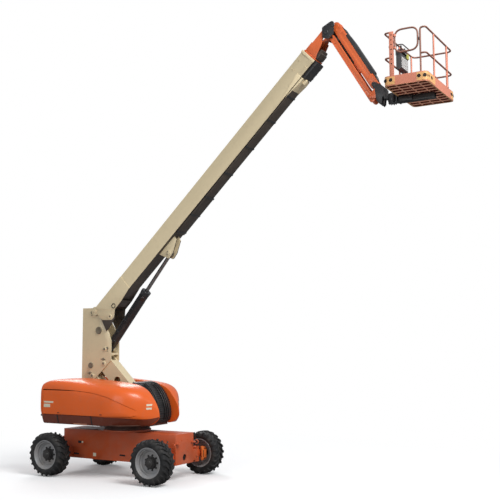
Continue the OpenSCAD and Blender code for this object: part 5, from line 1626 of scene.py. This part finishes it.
# %% Hinge rings and tie loops, and the rails made one piece
GATE_A = Vector((DECK_X0 + 0.245, -RY, PLATE_Z))
HINGES = (0.700, 0.960)  # metres above the deck plate
for up in HINGES:
    ring = [(0.0, 0.0205), (0.0, 0.028), (0.002, 0.029), (0.038, 0.029), (0.040, 0.028), (0.040, 0.0205)]
    rails.append(turned("hinge_ring", GATE_A + Vector((0, 0, up)), (0, 0, 1), ring, TOE, 28))
for z in (TOP_Z - 0.11, MID_Z - 0.03, MID_Z + 0.20):
    loop = [(GATE_X0 - 0.01, -RY - 0.004, z), (GATE_X0 - 0.075, -RY - 0.002, z),
            (GATE_X0 - 0.075, -RY - 0.002, z + 0.060), (GATE_X0 - 0.01, -RY - 0.004, z + 0.060)]
    rails.append(pipe("tie_loop", loop, 0.006, 0.028, material=RAIL, sides=8))
rails_piece = joined("platform_rails_finished", *rails)
settle(rails_piece, None, BODY_OF["platform_rails"], "platform_rails")
print("rail faces", len(rails_piece.data.polygons))

# %% Gate: one bent loop hung on two collars
GATE_B, GATE_TOP, GATE_FOOT = DECK_X1 - 0.185, TOP_Z + 0.030, PLATE_Z + 0.620
loop = [(GATE_A.x, -RY, GATE_FOOT), (GATE_A.x, -RY, GATE_TOP), (GATE_B, -RY, GATE_TOP),
        (GATE_B, -RY, GATE_FOOT)]
gate = [pipe("gate_loop", loop, RAIL_R, 0.16, closed=True, material=RAIL, sides=14)]
for up in HINGES:
    ring = [(0.0, 0.010), (0.0, 0.024), (0.002, 0.025), (0.012, 0.025), (0.014, 0.024), (0.014, 0.010)]
    gate.append(turned("gate_collar", GATE_A + Vector((0, 0, up + 0.041)), (0, 0, 1), ring, RAIL, 28))
latch = slab("latch", (GATE_B - 0.012, -RY - 0.014, PLATE_Z + 0.80),
             (GATE_B + 0.030, -RY + 0.014, PLATE_Z + 0.86), 0.004)
gate.append(with_finish(latch, BLACK))
settle(joined("platform_gate_finished", *gate), None, BODY_OF["platform_gate"], "platform_gate")
print("gate pieces:", len(gate))

# %% Control console: its housing and the blank tiles on its face
TILES_ACROSS, TILES_UP, TILE_DY, TILE_DZ = 8, 6, 0.0475, 0.0395
BOX_LOW, BOX_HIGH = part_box("control_console")
CX, CY, CZ = BOX_LOW.x, BOX_HIGH.y, BOX_LOW.z
housing = [(CX, CZ), (CX + 0.085, CZ), (CX + 0.115, CZ + 0.035), (CX + 0.115, CZ + 0.300), (CX, CZ + 0.300)]
upper = [(CX, CZ + 0.298), (CX + 0.105, CZ + 0.298), (CX + 0.090, CZ + 0.345), (CX + 0.060, CZ + 0.412),
         (CX, CZ + 0.412)]
console = [plate("housing", rounded(housing, 0.012, 3), -CY, CY - 0.105, GREY_PLASTIC, 0.005),
           plate("upper", rounded(upper, 0.010, 3), -CY + 0.012, CY - 0.120, BLACK, 0.004)]
tile = slab("tile", (CX + 0.114, -CY + 0.022, CZ + 0.040), (CX + 0.119, -CY + 0.066, CZ + 0.075), 0.0015, 1)
row = grown("row", tile, LINE, Count=TILES_ACROSS, Start=(0, 0, 0), Step=(0, TILE_DY, 0), Material=LABEL_GREY)
tiles = grown("tiles", row, LINE, Count=TILES_UP, Start=(0, 0, 0), Step=(0, 0, TILE_DZ), Material=LABEL_GREY)
bpy.data.objects.remove(tile)
bpy.data.objects.remove(row)
console.append(tiles)
top_tray = slab("top_tray", (CX + 0.004, -CY - 0.004, CZ + 0.408),
                (CX + 0.100, CY - 0.110, CZ + 0.424), 0.005)
console.append(with_finish(top_tray, BLACK))
side_box = slab("side_box", (CX + 0.030, CY - 0.105, CZ + 0.330), (CX + 0.110, CY - 0.015, CZ + 0.440), 0.008)
console.append(with_finish(side_box, LAMP_YELLOW))
print("tiles:", TILES_ACROSS * TILES_UP)

# %% Levers, toggles, stop button and guard on the console
CONSOLE_TOP = CZ + 0.423
for y in (-0.150, 0.070):
    base = Vector((CX + 0.062, y, CONSOLE_TOP))
    boot = [(0.0, 0.0), (0.0, 0.038), (0.008, 0.038), (0.012, 0.032), (0.018, 0.034), (0.024, 0.026),
            (0.030, 0.028), (0.038, 0.018), (0.046, 0.010), (0.046, 0.0)]
    console.append(turned("boot", base, (0, 0, 1), boot, HOSE, 24))
    console.append(pipe("lever", [base, base + Vector((0.008, 0, 0.070))], 0.006, material=BLACK, sides=8))
    knob = [(0.0, 0.0), (0.0, 0.012), (0.010, 0.019), (0.040, 0.021), (0.058, 0.016), (0.064, 0.0)]
    console.append(turned("knob", base + Vector((0.006, 0, 0.062)), (0.1, 0, 1), knob, BLACK, 20))
toggle = bolt("toggle", 0.008, 0.020, (CX + 0.085, -0.100, CZ + 0.424), 0.003, 8)
console.append(grown("toggles", toggle, LINE, Count=5, Start=(0, 0, 0), Step=(0, 0.030, 0), Material=BLACK))
bpy.data.objects.remove(toggle)
stop = [(0.0, 0.0), (0.0, 0.014), (0.010, 0.014), (0.010, 0.022), (0.018, 0.022), (0.022, 0.016),
        (0.022, 0.0)]
console.append(turned("stop_button", Vector((CX + 0.060, -0.230, CONSOLE_TOP)),
                      (0, 0, 1), stop, STOP_RED, 24))
guard = [(CX + 0.010, -CY - 0.020, CZ + 0.30), (CX + 0.010, -CY - 0.020, CZ + 0.52),
         (CX + 0.150, -CY - 0.020, CZ + 0.52), (CX + 0.150, CY - 0.060, CZ + 0.52),
         (CX + 0.010, CY - 0.060, CZ + 0.52), (CX + 0.010, CY - 0.060, CZ + 0.30)]
console.append(pipe("guard", guard, 0.012, 0.06, material=BLACK))
settle(joined("control_console_finished", *console), None, BODY_OF["control_console"], "control_console")
print("console pieces:", len(console))

# %% Rotator and beam under the deck
softened("platform_support", BLACK, 0.006)
SUP_LOW, SUP_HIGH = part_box("platform_support")
TURN_X = joint_at("platform_turn").x
TURN_R, CLAMP_RING = TURN_X - SUP_LOW.x, 0.075
under = []
for z, up in ((SUP_LOW.z, -1), (SUP_HIGH.z, 1)):
    ring = [Vector((TURN_X + CLAMP_RING * math.cos(a), CLAMP_RING * math.sin(a), z))
            for a in np.arange(0, 2 * math.pi, math.pi / 4)]
    under.append(studs("clamp_bolts", ring, (0, 0, up), 0.010, 0.009, DARK_STEEL, 0.002))
for y in (-0.105, 0.105):
    low, high = sorted((y, y * 0.55))
    ear = slab("beam_ear", (DECK_X0 + 0.010, low, DECK_Z - 0.110),
               (DECK_X0 + 0.320, high, DECK_Z - 0.002), 0.005)
    under.append(with_finish(ear, BLACK))
for y in (-0.034, -0.012, 0.012):
    run = [(TURN_X + 0.110, y, DECK_Z - 0.118), (DECK_X0 + 0.20, y, DECK_Z - 0.126),
           (DECK_X0 + 0.62, y, DECK_Z - 0.126)]
    under.append(pipe("beam_hose", run, 0.009, 0.05, material=HOSE, sides=8))
settle(joined("beam_fittings", *under), None, "platform", slot="black_paint")
drum = [(0.012, 0.0), (0.012, 0.092), (0.018, TURN_R + 0.006), (0.050, TURN_R + 0.010),
        (0.090, TURN_R + 0.010), (0.122, TURN_R + 0.006), (0.128, 0.092), (0.128, 0.0)]
rotator = turned("drum_band", Vector((TURN_X, 0, SUP_LOW.z + 0.035)), (0, 0, 1), drum, BLACK, 48)
settle(joined("rotator_housing", rotator), None, "head", slot="black_paint")
print("pieces under the deck:", len(under))

# %% [markdown]
# ## Chassis
# The chassis is a deep welded box with an axle beam through each end. What makes it believable is
# the steering end, where a cast knuckle block wraps the end of the axle. The blocks turn with the
# wheels, so they ride the steering bodies and not the chassis. The plates, tie-down eyes and slots
# on the box itself are laid on as thin pieces, because cutting them into the frame's own mesh would
# gain nothing that shows.

# %% Chassis box, axles and what sits under the hoods
for node, finish, width in (
        ("chassis_frame", CHASSIS, 0.008), ("front_axle", CHASSIS, 0.008), ("rear_axle", CHASSIS, 0.008),
        ("knuckle_left", CHASSIS, 0.010), ("knuckle_right", CHASSIS, 0.010), ("slew_ring", RING_PAINT, 0.003),
        ("tie_rod", DARK_STEEL, 0.003), ("turntable_deck", RING_PAINT, 0.006), ("counterweight", CAST, 0.020),
        ("engine", DARK_STEEL, 0.014)):
    softened(node, finish, width)
print("castings and plates softened")

# %% Labels, slots, bolts and tie-down eyes on the chassis box
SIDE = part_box("chassis_frame")[1].y
FRONT_X, REAR_X, OVERHANG = WHEELS["front_left"].x, WHEELS["rear_left"].x, 0.165
END_HIGH, END_LOW = FRONT_X + OVERHANG, REAR_X - OVERHANG
TIE_Y, TIE_Z = SIDE - 0.09, 0.83
ENDS = ((1, END_HIGH), (-1, END_LOW))
on = []
for side in (1, -1):
    out = (0, side, 0)
    spots = [(-0.53, 0.51, 0.045, 0.040, LABEL), (-1.00, 0.785, 0.050, 0.030, BLACK),
             (-0.915, 0.785, 0.022, 0.022, LABEL)]
    for x, z, wide, tall, paint in spots:
        low, high = sorted((side * (SIDE - 0.002), side * (SIDE + 0.003)))
        label = slab("label", (SLEW_X + x - wide, low, z - tall),
                     (SLEW_X + x + wide, high, z + tall), 0.001, 1)
        on.append(with_finish(label, paint))
    for x, z in ((0.31, 0.54), (-1.10, 0.50)):
        low, high = sorted((side * (SIDE - 0.002), side * (SIDE + 0.002)))
        slot = [(SLEW_X + x - 0.085, z - 0.018), (SLEW_X + x + 0.085, z - 0.018),
                (SLEW_X + x + 0.085, z + 0.018), (SLEW_X + x - 0.085, z + 0.018)]
        on.append(plate("dark_slot", rounded(slot, 0.018, 4), low, high, DARK_HOLE_CHASSIS, 0.0))
    for x, z in ((END_HIGH - 0.08, 0.92), (END_HIGH - 0.08, 0.84), (END_HIGH - 0.04, 0.72),
                 (END_HIGH - 0.04, 0.46), (END_LOW + 0.10, 0.90)):
        on.append(studs("side_bolts", [Vector((x, side * SIDE, z))], out, 0.014, 0.011, STEEL))
    for end, x in ENDS:
        eye = [(x - end * 0.01, side * TIE_Y, TIE_Z - 0.045), (x + end * 0.055, side * TIE_Y, TIE_Z - 0.035),
               (x + end * 0.055, side * TIE_Y, TIE_Z + 0.035), (x - end * 0.01, side * TIE_Y, TIE_Z + 0.045)]
        on.append(pipe("tie_down", eye, 0.013, 0.045, material=CHASSIS, sides=12))
for end, x in ENDS:
    places = [Vector((x, y, z)) for y in (-0.34, -0.12, 0.12, 0.34) for z in (0.92, 0.66)]
    on.append(studs("end_bolts", places, (end, 0, 0), 0.013, 0.010, CHASSIS))
on.append(turned("hole_shade", Vector((END_HIGH - 0.030, 0, 0.515)), (1, 0, 0),
                 disc(0.0, 0.002, 0.090), DARK_HOLE_CHASSIS))
settle(joined("chassis_fittings", *on), None, "chassis", slot="axle_paint")
print("chassis fittings:", len(on))

# %% Steering knuckle blocks, one on each front corner
BLOCK_IN, BLOCK_OUT = 0.838, 0.930  # the deep block beside the axle, across the machine
FACE_IN, FACE_OUT, FACE_X = 0.740, 0.842, FRONT_X + 0.148  # the thin face plate in front of it
KNUCKLE_SLOT, KNUCKLE_BOLT_Y = (0.770, 0.800), 0.850
block = [(FRONT_X + 0.055, 0.350), (FRONT_X + 0.165, 0.370), (FRONT_X + 0.182, 0.420),
         (FRONT_X + 0.182, 0.610), (FRONT_X + 0.160, 0.660), (FRONT_X + 0.055, 0.684)]
front = [(max(x, FACE_X), z) for x, z in block]
for side, word in ((1, "left"), (-1, "right")):
    parts = [plate("knuckle_side", block, *sorted((side * BLOCK_IN, side * BLOCK_OUT)), KNUCKLE, 0.014),
             plate("knuckle_face", front, *sorted((side * FACE_IN, side * FACE_OUT)), KNUCKLE, 0.006)]
    s0, s1 = sorted(side * y for y in KNUCKLE_SLOT)
    slot = slab("knuckle_slot", (FRONT_X + 0.150, s0, 0.430), (FRONT_X + 0.1835, s1, 0.600), 0.004, 1)
    parts.append(with_finish(slot, DARK_HOLE_CHASSIS))
    for z in (0.400, 0.635):
        place = Vector((FRONT_X + 0.180, side * KNUCKLE_BOLT_Y, z))
        parts.append(studs("knuckle_bolts", [place], (1, 0, 0), 0.016, 0.012, DARK_STEEL))
    settle(joined(f"knuckle_{word}_block", *parts), None, f"steer_{word}", slot="axle_paint")
print("knuckle blocks: 2")
